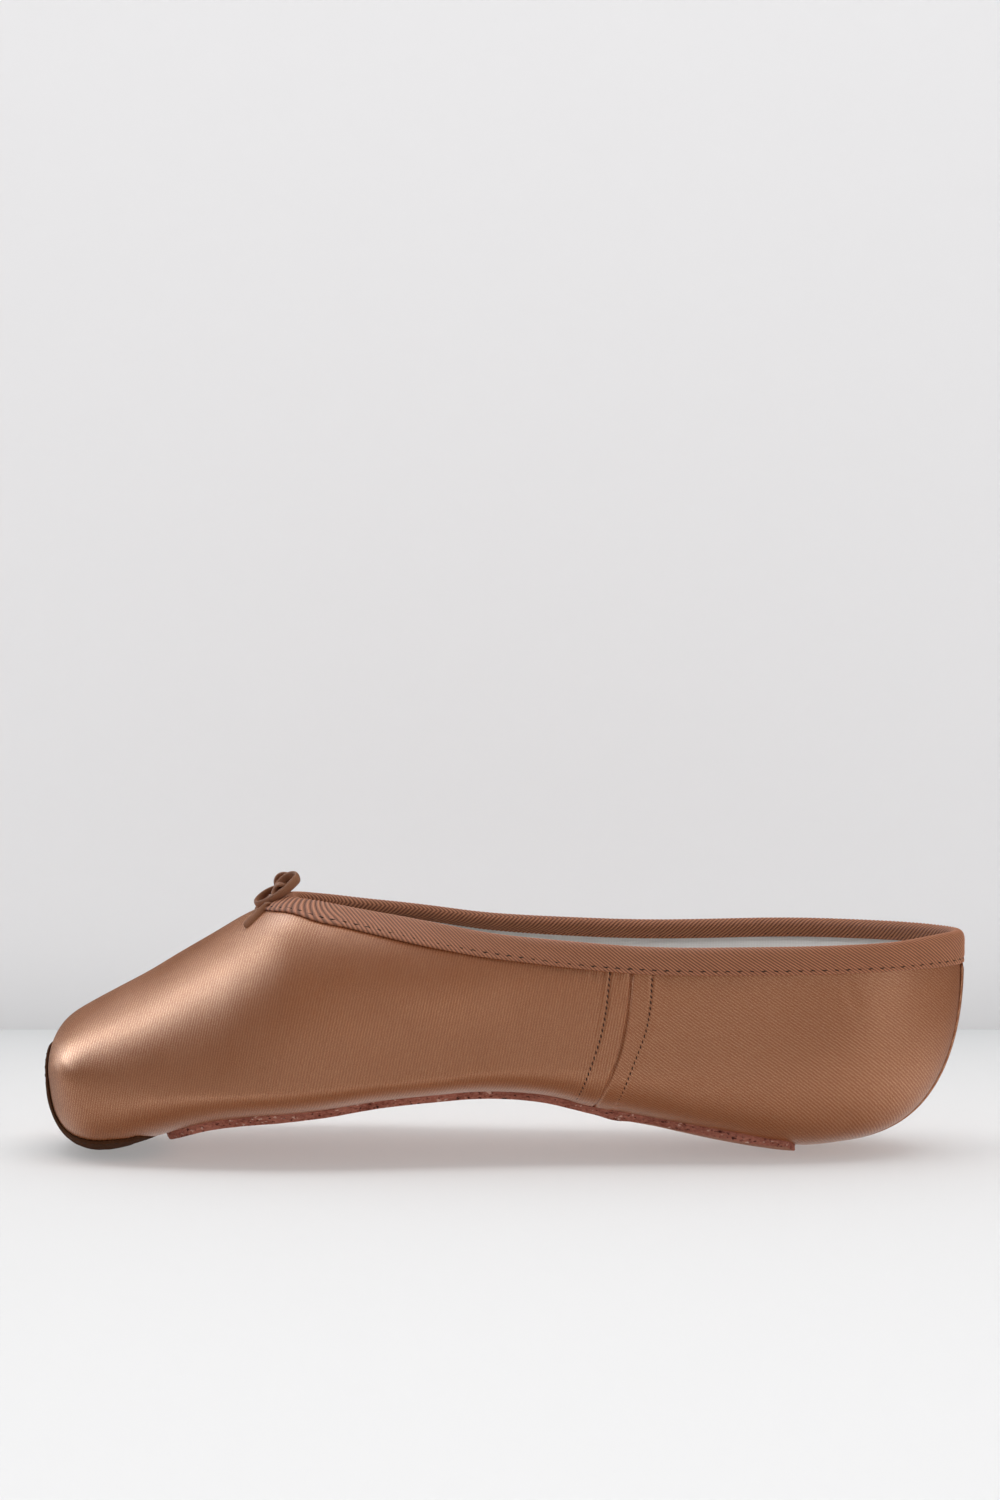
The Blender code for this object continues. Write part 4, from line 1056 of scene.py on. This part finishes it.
def makeCollarTape(values):
    rows = tapeProfile(values)
    whole = 2.0 * collarEdge()[1][-1]
    ribs = int(round(whole / values["ribPitch"]))
    samples = values["samples"]
    count = ribs * len(samples)
    section = lengthsAlong(rows[:, :2])
    fold = section[np.argmin(rows[:, 0])]
    shown = rows[:, 2] > 0.0
    shift = np.where(shown, np.abs(section - fold), 0.0)
    hidden = np.flatnonzero(~shown)
    shift[hidden[0]] = shift[1]
    shift[hidden[1:]] = np.interp(hidden[1:], [hidden[1] - 1, len(rows)], [shift[hidden[1] - 1], shift[0]])
    t = np.arange(count)[None] * whole / count
    away = smoothstep(np.minimum(t, whole - t) / values["steepReach"])
    t = t + shift[:, None] * mix(values["throatSlant"], values["slant"], away)
    rib = np.tile(samples, ribs)[None] * rows[:, 2:3] * values["ribHeight"]
    middle = -last["wall"] / 2.0
    inward = np.where(rows[:, 1] < middle, -1.0, 1.0)[:, None]
    sink = np.zeros(len(rows))
    for leg, name in ((rows[:, 1] > 0.0, "collar"), (rows[:, 1] < -last["wall"], "inner")):
        pull = bump((rows[:, 0] - stitchSet[name]["drop"]) / values["stitchSinkHalfWidth"])
        sink += values["stitchSink"] * pull * leg * rows[:, 2]
    # on the roll the ribs stand out from its own middle
    onRoll = rows[:, 0:1] < 0.0
    lift = rib - sink[:, None]
    grow = 1.0 + np.where(onRoll, lift / values["rollRadius"], 0.0)
    out = np.where(onRoll, middle + (rows[:, 1:2] - middle) * grow, rows[:, 1:2] + lift * inward)
    drop = tapeDrop(values, t, whole, rows[:, 0:1] * grow, rows[:, 1:2] > 0.0)
    points, _, _ = aroundCollar(t, drop, out)
    points[..., 2] += values["unevenness"] * wobble(t, 0.0 * t, 11, values["unevenLength"])
    faces = gridFaces(len(rows), count, closeRows=True, closeColumns=True)[:, ::-1]
    piece = addPiece("collarTape", points, faces, [twill])
    # across the map one rib is one unit, so the painted light and shade of the ribs follows them
    u = np.stack(np.broadcast_arrays(np.arange(count)[None] / len(samples), section[:, None]), axis=-1)
    corners = u.reshape(-1, 2)[faces]
    wrap = corners[..., 0].max(axis=1) - corners[..., 0].min(axis=1) > ribs / 2.0
    corners[..., 0] += np.where(wrap[:, None] & (corners[..., 0] < ribs / 2.0), ribs, 0.0)
    addUv(piece, corners)
    return ridesOn(piece, "collar_twill", "collar_binding")


def makeCollarStitches(values):
    # one row on the tape's outer leg and one on its inner leg
    whole = 2.0 * collarEdge()[1][-1]
    t = np.linspace(0.0, whole, 700, endpoint=False)
    face = values["gap"] + values["thickness"] - values["stitchSink"] + values["ribHeight"] * 0.5
    for name, row, out, seed in (("collarStitches", "collar", face, 3),
                                 ("collarInnerStitches", "inner", -(last["wall"] + face), 4)):
        drop = tapeDrop(values, t, whole, stitchSet[row]["drop"], out > 0.0)
        line, normals, _ = aroundCollar(t, drop, out)
        addStitches(name, "collar_twill", [(line, normals * np.sign(out), True)], stitchSet[row], seed)


# Lining, toe patch, back seam, sole and sock

liningSet = {
    "columnStep": 1.9, "rows": 46, "outer": 0.5,
    "clearance": 0.05,   # how far it stays inside the wall's thickness
    "wrinkle": 0.12, "wrinkleLength": 17.0, "wrinkleLimits": (-0.3, 0.5),
    "folds": (
        (1, 1.5, 0.35, ((133, 50), (134, 44), (133, 36))),
        (1, 1.3, -0.25, ((135.6, 50), (136.6, 45), (136, 38))),
        (1, 1.4, 0.35, ((138, 50), (139.4, 45), (139, 37))),
        (1, 1.3, -0.25, ((141.5, 50), (142, 46), (142.6, 40))),
        (-1, 1.6, 0.3, ((139, 50), (138.5, 44), (137, 37))),
        (-1, 1.5, -0.25, ((144, 50), (143, 43), (141, 36)))),
}


def makeLining(values):
    p = spreadColumns(values["columnStep"])
    points, normals = (bothSides(grid) for grid in satinGrid(p, values["rows"])[:2])
    rows, count = points.shape[:2]
    side = np.where(np.arange(count) < len(p), -1.0, 1.0) + np.zeros((rows, 1))
    wall = wallAt(points[..., 0])
    uneven = values["wrinkle"] * wobble(points[..., 0], points[..., 2], 8, values["wrinkleLength"])
    wrinkle = np.clip(foldDepth(points, side, values["folds"]) + uneven, *values["wrinkleLimits"])
    outer = points - normals * values["outer"]
    inner = points - normals * (wall + wrinkle - values["clearance"])[..., None]
    faces = gridFaces(2 * rows, count, closeRows=True, closeColumns=True)
    piece = addPiece("lining", np.concatenate([outer, inner[::-1]]), faces, [liningCotton])
    return ridesOn(piece, "insole_cotton")


def profilePoints(centre, y, angle):
    # points of the satin in planes along the shoe, seen from a line across it at these angles
    def at(distance):
        return stack3(centre[0] - distance * np.cos(angle), y, centre[1] + distance * np.sin(angle))

    return onSatin(at, np.broadcast(y, angle).shape)


def makeToePatch(values):
    outline = np.array(values["outline"], float)
    fine = np.linspace(outline[0, 0], outline[-1, 0], fineSteps)
    middle = profilePoints(values["centre"], 0.0, np.radians(fine))
    length = lengthsAlong(middle)
    angle = np.interp(np.linspace(0.0, length[-1], values["rows"]), length, fine)
    halfWidth = tableCurve(outline, angle)
    across = np.linspace(-1.0, 1.0, values["columns"])
    along = np.linspace(0.0, length[-1], values["rows"])[:, None]
    sides = np.sign(across)[None]
    edge = np.abs(across)[None] ** values["raggedPower"]
    ragged = values["ragged"] * wobble(along, 9.0 * sides, 21, 5.0) + \
        values["tooth"] * np.cos(2.0 * math.pi * along / values["toothPitch"])
    y = (halfWidth[:, None] + ragged * edge) * across
    points = profilePoints(values["centre"], y, np.radians(angle)[:, None])
    normals = normalsAt(points)
    fromEnd = np.minimum(along, length[-1] - along)
    fromSide = halfWidth[:, None] * (1.0 - np.abs(across)[None])
    inset = np.clip(np.minimum(fromEnd, fromSide) / values["edgeWidth"], 0.0, 1.0)
    thick = values["thickness"] * mix(values["edgeShare"], 1.0, quarterRound(inset))
    nap = sum(height * wobble(along, y, seed, length) for height, seed, length in values["nap"])
    upper = points + normals * (values["gap"] + thick + nap * inset)[..., None]
    lower = points + normals * values["gap"]
    upper[..., 2], lower[..., 2] = np.maximum(upper[..., 2], 0.0), np.maximum(lower[..., 2], 0.03)
    piece = addSlab("toePatch", upper, lower, [suede])
    ridesOn(piece, "toe_suede", "toe_tip")
    # one row of stitches round its edge
    inset = stitchSet["toe"]["inset"]
    turn = np.linspace(0.0, 1.0, 150)
    ringAngle = np.interp(turn * (length[-1] - 2.0 * inset) + inset, length, fine)
    ringWidth = np.clip(tableCurve(outline, ringAngle) - inset, 0.0, None)
    ring = np.concatenate([np.stack([ringAngle, -ringWidth], -1), np.stack([ringAngle, ringWidth], -1)[::-1]])
    line = profilePoints(values["centre"], ring[:, 1], np.radians(ring[:, 0]))
    out = normalsAt(line)
    line = line + out * (values["gap"] + values["thickness"] - 0.04)
    line[:, 2] = np.maximum(line[:, 2], 0.1)
    addStitches("toePatchStitches", "toe_suede", [(line, out, True)], stitchSet["toe"], 5)


backSeamSet = {
    "halfWidth": 1.8, "thickness": 0.75, "gap": 0.1, "centre": (200.0, 28.0), "lowX": 189.5, "highZ": 46.6,
    "rows": 90, "columns": 15,
    "edgeShare": 0.3, "endShare": 0.4, "slit": 0.28, "slitPlace": -0.05, "slitHalfWidth": 0.22,
}


def makeBackSeam(values):
    centre, lowX = values["centre"], np.array(values["lowX"])
    start = math.atan2(float(surfaceHeight(lowX, 0.0 * lowX, -1)) - centre[1], centre[0] - values["lowX"])
    level = bisect(lambda x: bodyValue(stack3(x, 0.0, values["highZ"])) < 1.0, np.array(centre[0]),
                   np.array(last["length"] + 1.0))
    stop = math.atan2(values["highZ"] - centre[1], centre[0] - float(level)) - 2.0 * math.pi
    fine = np.linspace(start, stop, fineSteps)
    length = lengthsAlong(profilePoints(centre, 0.0, fine))
    angle = np.interp(np.linspace(0.0, length[-1], values["rows"]), length, fine)
    across = np.linspace(-1.0, 1.0, values["columns"])
    points = profilePoints(centre, values["halfWidth"] * across, angle[:, None])
    normals = normalsAt(points)
    crown = np.sqrt(np.clip(1.0 - np.abs(across) ** 3.0, 0.0, 1.0))
    ends = np.clip(np.minimum(np.arange(values["rows"]), np.arange(values["rows"])[::-1]) / 2.0, 0.0, 1.0)[:, None]
    edge = values["edgeShare"]
    thick = values["thickness"] * (edge + (1.0 - edge) * crown * mix(values["endShare"], 1.0, ends))
    slit = values["slit"] * bump((across - values["slitPlace"]) / values["slitHalfWidth"])
    upper = points + normals * (values["gap"] + thick - slit)[..., None]
    lower = points + normals * values["gap"]
    upper[..., 2] = np.maximum(upper[..., 2], 0.1)
    piece = addSlab("backSeamTape", upper, lower, [satin])
    vertex = np.zeros(len(piece.data.loops), int)
    piece.data.loops.foreach_get("vertex_index", vertex)
    grid = np.arange(values["rows"] * values["columns"])
    along = (grid // values["columns"]) * length[-1] / (values["rows"] - 1.0)
    over = (grid % values["columns"]) * 2.0 * values["halfWidth"] / (values["columns"] - 1.0)
    addUv(piece, np.stack([np.tile(line, 2)[vertex] for line in (over, along)], axis=-1))
    return ridesOn(piece, "satin", "back_seam_tape")


def soleOutline(rows, ends, step, inset):
    # half of the sole's outline from its front to its back, and the place on the centre line for each point
    turn = np.linspace(0.0, math.pi, 721)
    x = ends[0] + (ends[1] - ends[0]) * (1.0 - np.cos(turn)) / 2.0
    outline = np.stack([x, -soleHalfWidth(rows, ends, x)], axis=-1)
    length = lengthsAlong(outline)
    count = int(round(length[-1] / step))
    wanted = np.linspace(0.0, length[-1], count + 1)
    edge = np.stack([np.interp(wanted, length, outline[:, k]) for k in (0, 1)], axis=-1)
    edge[[0, -1], 1] = 0.0
    centreX = np.linspace(ends[0] + inset, ends[1] - inset, count + 1)
    return edge, np.stack([centreX, 0.0 * centreX], axis=-1)


def soleGrid(edge, centre, out, depth):
    # points under the foot, out from the centre line (0) to the edge (1) and down from the satin
    plan = centre * (1.0 - out) + edge * out
    z = surfaceHeight(plan[..., 0], plan[..., 1], -1)
    points = standOff(stack3(plan[..., 0], plan[..., 1], z), depth + 0.0 * z)
    points[..., 1] = np.minimum(points[..., 1], 0.0)
    points[:, [0, -1], 1] = 0.0
    if float(out[0].max()) == 0.0:
        points[0, :, 1] = 0.0
    return points


def makeOutsole(values):
    edge, centre = soleOutline(values["rows"], values["ends"], values["columnStep"], values["centreInset"])
    out = np.linspace(0.0, 1.0, values["rowsAcross"])[:, None, None] ** values["crowding"]
    thickness = tableCurve(values["rows"], edge[:, 0], 2)
    top = soleGrid(edge, centre, out, values["gap"])
    bottom = soleGrid(edge, centre, out, values["gap"] + thickness[None])
    wall = np.linspace(0.0, 1.0, values["wallRows"] + 2)[1:-1, None, None]
    side = top[-1][None] * (1.0 - wall) + bottom[-1][None] * wall
    grid = bothSides(np.concatenate([top, side, bottom[::-1]]))
    count = grid.shape[1]
    rim = np.zeros(len(grid))
    rim[len(top) - 1:len(top) + len(side) + 1] = 1.0
    rim[[len(top) - 1, len(top) + len(side)]] = values["cornerShare"]
    around = np.arange(count) * values["columnStep"]
    # the raw edge is cut a little wavy and its fibres stand out unevenly
    turns = np.random.default_rng(77)
    fibre = turns.normal(0.0, 1.0, grid.shape[:2])
    fibre = (fibre + np.roll(fibre, 1, 1) + np.roll(fibre, -1, 1)) / 3.0
    wave = values["wave"] * wobble(around, 0.0 * around, 41, values["waveLength"])
    ahead = np.roll(grid[len(top) - 1], -1, 0) - np.roll(grid[len(top) - 1], 1, 0)
    outward = np.stack([ahead[:, 1], -ahead[:, 0]], axis=-1)
    outward /= np.linalg.norm(outward, axis=-1, keepdims=True) + 1e-9
    grid[..., :2] += outward[None] * (rim[:, None] * (wave[None] + values["fibreOut"] * fibre))[..., None]
    grid[..., 2] += values["fibreUp"] * rim[:, None] * np.roll(fibre, 3, 1)
    kink = sum(drop * bump((grid[..., 0] - x) / halfWidth) for x, halfWidth, drop in values["kinks"])
    under = np.linspace(0.0, 1.0, len(side) + 2)
    share = np.concatenate([np.zeros(len(top) - 1), under, np.ones(len(bottom) - 1)])[:, None]
    grid[..., 2] -= kink * share * mix(values["kinkInside"], 1.0, rim[:, None] > 0.0)
    grid[..., 2] = np.maximum(grid[..., 2], 0.0)
    faces = gridFaces(len(grid), count, closeColumns=True)[:, ::-1]
    piece = addPiece("leatherSole", grid, faces, [soleEdge, soleUnder], weld=True)
    for face in piece.data.polygons:
        face.material_index = int(face.normal.z < -values["underFacing"])
    return ridesOn(piece, "outsole_leather", "outsole")


sockSet = {
    "rows": ((14, 16.0), (25, 20.0), (45, 24.0), (60, 25.5), (80, 23.0), (100, 19.5), (120, 18.0), (150, 18.5),
             (180, 19.0), (200, 18.0), (217, 15.0)),
    "ends": (14.0, 217.0, 14.0, 22.0), "thickness": 1.5, "gap": 0.3, "columnStep": 1.2, "rowsAcross": 16,
    "centreInset": 8.0, "rimFall": 0.45, "rimSteepness": 14.0, "unevenness": 0.08, "unevenLength": 33.0,
}


def makeSock(values):
    edge, centre = soleOutline(values["rows"], values["ends"], values["columnStep"], values["centreInset"])
    out = np.linspace(0.0, 1.0, values["rowsAcross"])[:, None, None]
    rim = np.clip((1.0 - out[..., 0]) * values["rimSteepness"], 0.0, 1.0)
    wall = wallAt(edge[:, 0])[None] + values["gap"]
    crown = values["thickness"] * (1.0 - values["rimFall"] + values["rimFall"] * quarterRound(rim))
    lower = soleGrid(edge, centre, out, -wall + 0.0 * rim)
    upper = soleGrid(edge, centre, out, -(wall + crown))
    upper[..., 2] += values["unevenness"] * wobble(upper[..., 0], upper[..., 1], 51, values["unevenLength"])
    grid = bothSides(np.concatenate([upper, lower[::-1]]))
    faces = gridFaces(len(grid), grid.shape[1], closeColumns=True)[:, ::-1]
    piece = addPiece("insoleSock", grid, faces, [sockCotton], weld=True)
    return ridesOn(piece, "insole_cotton", "insole")


def makeSeamStitches(values):
    lines = []
    for side in (-1.0, 1.0):
        for name in ("front", "back"):
            table = np.array(seamLines[name], float)
            z = np.linspace(table[0, 0] + 4.0, 48.5, 120)
            x = seamX(name, z)
            y = bisect(lambda y: bodyValue(stack3(x, y, z)) < 1.0, 0.0 * z, 0.0 * z + 60.0)
            points = stack3(x, y, z)
            normals = normalsAt(points)
            raised = satinSet["seamRaise"] - satinSet["stitchSink"] + 0.05
            points = points + normals * raised
            flip = np.array([1.0, side, 1.0])
            lines.append((points * flip, normals * flip, False))
    addStitches("sideSeamStitches", "satin", lines, values, 6)


makeSatinUpper(satinSet)
print("satin laid over the last")
makeLining(liningSet)
makeCollarTape(tapeSet)
makeCollarStitches(tapeSet)
print("collar bound")
makeToePatch(toePatchSet)
makeBackSeam(backSeamSet)
makeSeamStitches(stitchSet["seam"])
makeOutsole(outsoleSet)
makeSock(sockSet)
print("soles fitted")

# Floor, wall and studio lights

white, cool = (1.0, 1.0, 1.0), (0.88, 1.0, 1.12)
softboxSet = {"distance": 0.8, "aim": (0.0, 0.0, 0.03), "size": (0.34, 0.34)}


def softbox(around, up, power, colour=white, kind="mirrored"):
    # a square panel that faces the shoe: degrees round it (0 is the camera's side, 90 the heel) and up
    turn, rise = math.radians(around), math.radians(up)
    way = (math.sin(turn) * math.cos(rise), -math.cos(turn) * math.cos(rise), math.sin(rise))
    place = tuple(round(a + softboxSet["distance"] * w, 3) for a, w in zip(softboxSet["aim"], way))
    return place, softboxSet["aim"], softboxSet["size"], power, colour, "shoe", kind


# "mirrored" lights show only in the gloss, "dull" ones are never mirrored, and "both" do both.
# The papers carry painted shade towards their joint, each over its own reach; on the floor it is tinted cool.
studio = {
    "wallY": 0.208, "halfWidth": 3.0, "front": -2.5, "height": 3.0,
    "floor": {"colour": (0.68, 0.68, 0.68), "paintedShadeColour": (0.04, 0.10, 0.12), "shade": 0.16, "reach": 170.0},
    "wall": {"colour": (0.80, 0.795, 0.80), "paintedShadeColour": (0.0, 0.0, 0.0), "shade": 0.14, "reach": 45.0},
    "shadePower": 2.5,
    "world": (0.62, 0.62, 0.63), "worldStrength": 0.55,
    "gloss": 1.5, "glossHeights": ((-1.0, -0.52), (-0.15, -0.40)),   # the floor's glow in the satin, by height
    "inside": ("lining", "insoleSock"),   # pieces that a light of their own reaches
    "lights": {  # place, aim, size, power, colour, what it lights, and how
        "overhead": ((0.0, 0.05, 1.3), (0.0, 0.0, 0.0), (1.5, 0.8), 9.0, white, "all", "dull"),
        "backdropLight": ((0.0, -1.1, 1.5), (0.0, 0.1, 0.1), (1.8, 0.6), 21.5, white, "stage", "dull"),
        "insideFill": ((0.0, -0.45, 0.70), (0.03, 0.02, 0.045), (0.3, 0.3), 3.0, white, "inside", "dull"),
        "heelSoftbox": softbox(60.0, 5.0, 0.62, kind="both"),
        "lowHeelStrip": softbox(90.0, -25.0, 0.26),
        "toeSoftbox": softbox(-90.0, 30.0, 5.0, cool),
        "frontSoftbox": softbox(30.0, 30.0, 0.78),
        "backStrip": softbox(-150.0, 55.0, 1.8, cool),
        "topSoftbox": softbox(-90.0, 55.0, 2.0, cool),
        "throatSoftbox": ((-0.10, 0.25, 0.79), (-0.05, 0.0, 0.05), (0.16, 0.16), 0.65, white, "shoe", "mirrored"),
        "toeRimStrip": softbox(-115.0, 8.0, 1.30),
        "lowToeSoftbox": softbox(-30.0, -25.0, 0.24),
        "lowHeelSoftbox": softbox(60.0, -25.0, 0.1),
        "levelSoftbox": softbox(0.0, 5.0, 0.42),
    },
}


def makeSheet(name, corners, axis, start, way):
    # a sheet of paper with painted shade near its start; from behind, the wall is seen through
    look = studio[name]
    material, tree, shader = newMaterial(name + "Paper", 0.9, specular=0.1)
    place = axesOf(tree, addNode(tree, "ShaderNodeTexCoord")["Object"])[axis]
    # painted shade: the paper turns darker, and on the floor cooler, towards the joint of floor and wall
    near = rangeNode(tree, place, start, start + way * look["reach"] * mm, 1.0, 0.0)
    paintedShade = mathNode(tree, "MULTIPLY", mathNode(tree, "POWER", near, studio["shadePower"]), look["shade"])
    setInput(tree, shader["Base Color"], mixColour(tree, paintedShade, rgba(look["colour"]), rgba(look["paintedShadeColour"])))
    if name == "wall":
        behind = addNode(tree, "ShaderNodeNewGeometry")["Backfacing"]
        clear = addNode(tree, "ShaderNodeBsdfTransparent")[0]
        paper = tree.nodes["Principled BSDF"].outputs[0]
        mixed = addNode(tree, "ShaderNodeMixShader", {0: behind, 1: paper, 2: clear})[0]
        setInput(tree, tree.nodes["Material Output"].inputs["Surface"], mixed)
    mesh = bpy.data.meshes.new(name)
    mesh.from_pydata(corners, [], [(0, 1, 2, 3)])
    mesh.materials.append(material)
    sheet = addObject(name, mesh)
    sheet.visible_glossy = False    # the satin mirrors the softboxes and the studio's air alone
    sheet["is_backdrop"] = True
    return sheet


def makeStudio(values):
    w, back, front, top = values["halfWidth"], values["wallY"], values["front"], values["height"]
    under = -0.2 * mm
    joint = [(-w, back, under), (w, back, under)]
    sheets = (makeSheet("floor", [(-w, front, under), (w, front, under), *joint[::-1]], "Y", back, -1.0),
              makeSheet("wall", [*joint, (w, back, top), (-w, back, top)], "Z", 0.0, 1.0))
    lit = {target: bpy.data.collections.new("lit" + target.capitalize()) for target in ("stage", "shoe", "inside")}
    for sheet in sheets:
        lit["stage"].objects.link(sheet)
    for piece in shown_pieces():
        lit["shoe"].objects.link(piece)
        if piece.name in values["inside"]:
            lit["inside"].objects.link(piece)
    for name, (place, aim, size, power, colour, target, kind) in values["lights"].items():
        data = bpy.data.lights.new(name, "AREA")
        data.shape, data.size, data.size_y = "RECTANGLE", size[0], size[1]
        data.energy, data.color = power, colour
        light = addObject(name, data)
        light.location = place
        light.rotation_euler = (Vector(aim) - Vector(place)).to_track_quat("-Z", "Y").to_euler()
        light.visible_camera, light.visible_diffuse = False, kind != "mirrored"
        light.visible_glossy = kind != "dull"
        if target in lit:
            light.light_linking.receiver_collection = lit[target]
            light.light_linking.blocker_collection = lit["shoe" if target == "inside" else target]
    world = bpy.data.worlds.new("studioAir")
    world.use_nodes = True
    tree = world.node_tree
    air = tree.nodes["Background"].inputs
    air["Color"].default_value = rgba(values["world"])
    height = axesOf(tree, addNode(tree, "ShaderNodeTexCoord")["Generated"])["Z"]
    rising, falling = (rangeNode(tree, height, *heights) for heights in values["glossHeights"])
    gloss = mathNode(tree, "MULTIPLY", mathNode(tree, "MULTIPLY", rising, falling), values["gloss"])
    mirrored = addNode(tree, "ShaderNodeLightPath")["Is Glossy Ray"]
    setInput(tree, air["Strength"], rangeNode(tree, mirrored, 0.0, 1.0, values["worldStrength"], gloss))
    scene.world = world
    scene.view_settings.view_transform = "Standard"


makeStudio(studio)
print("studio lit")
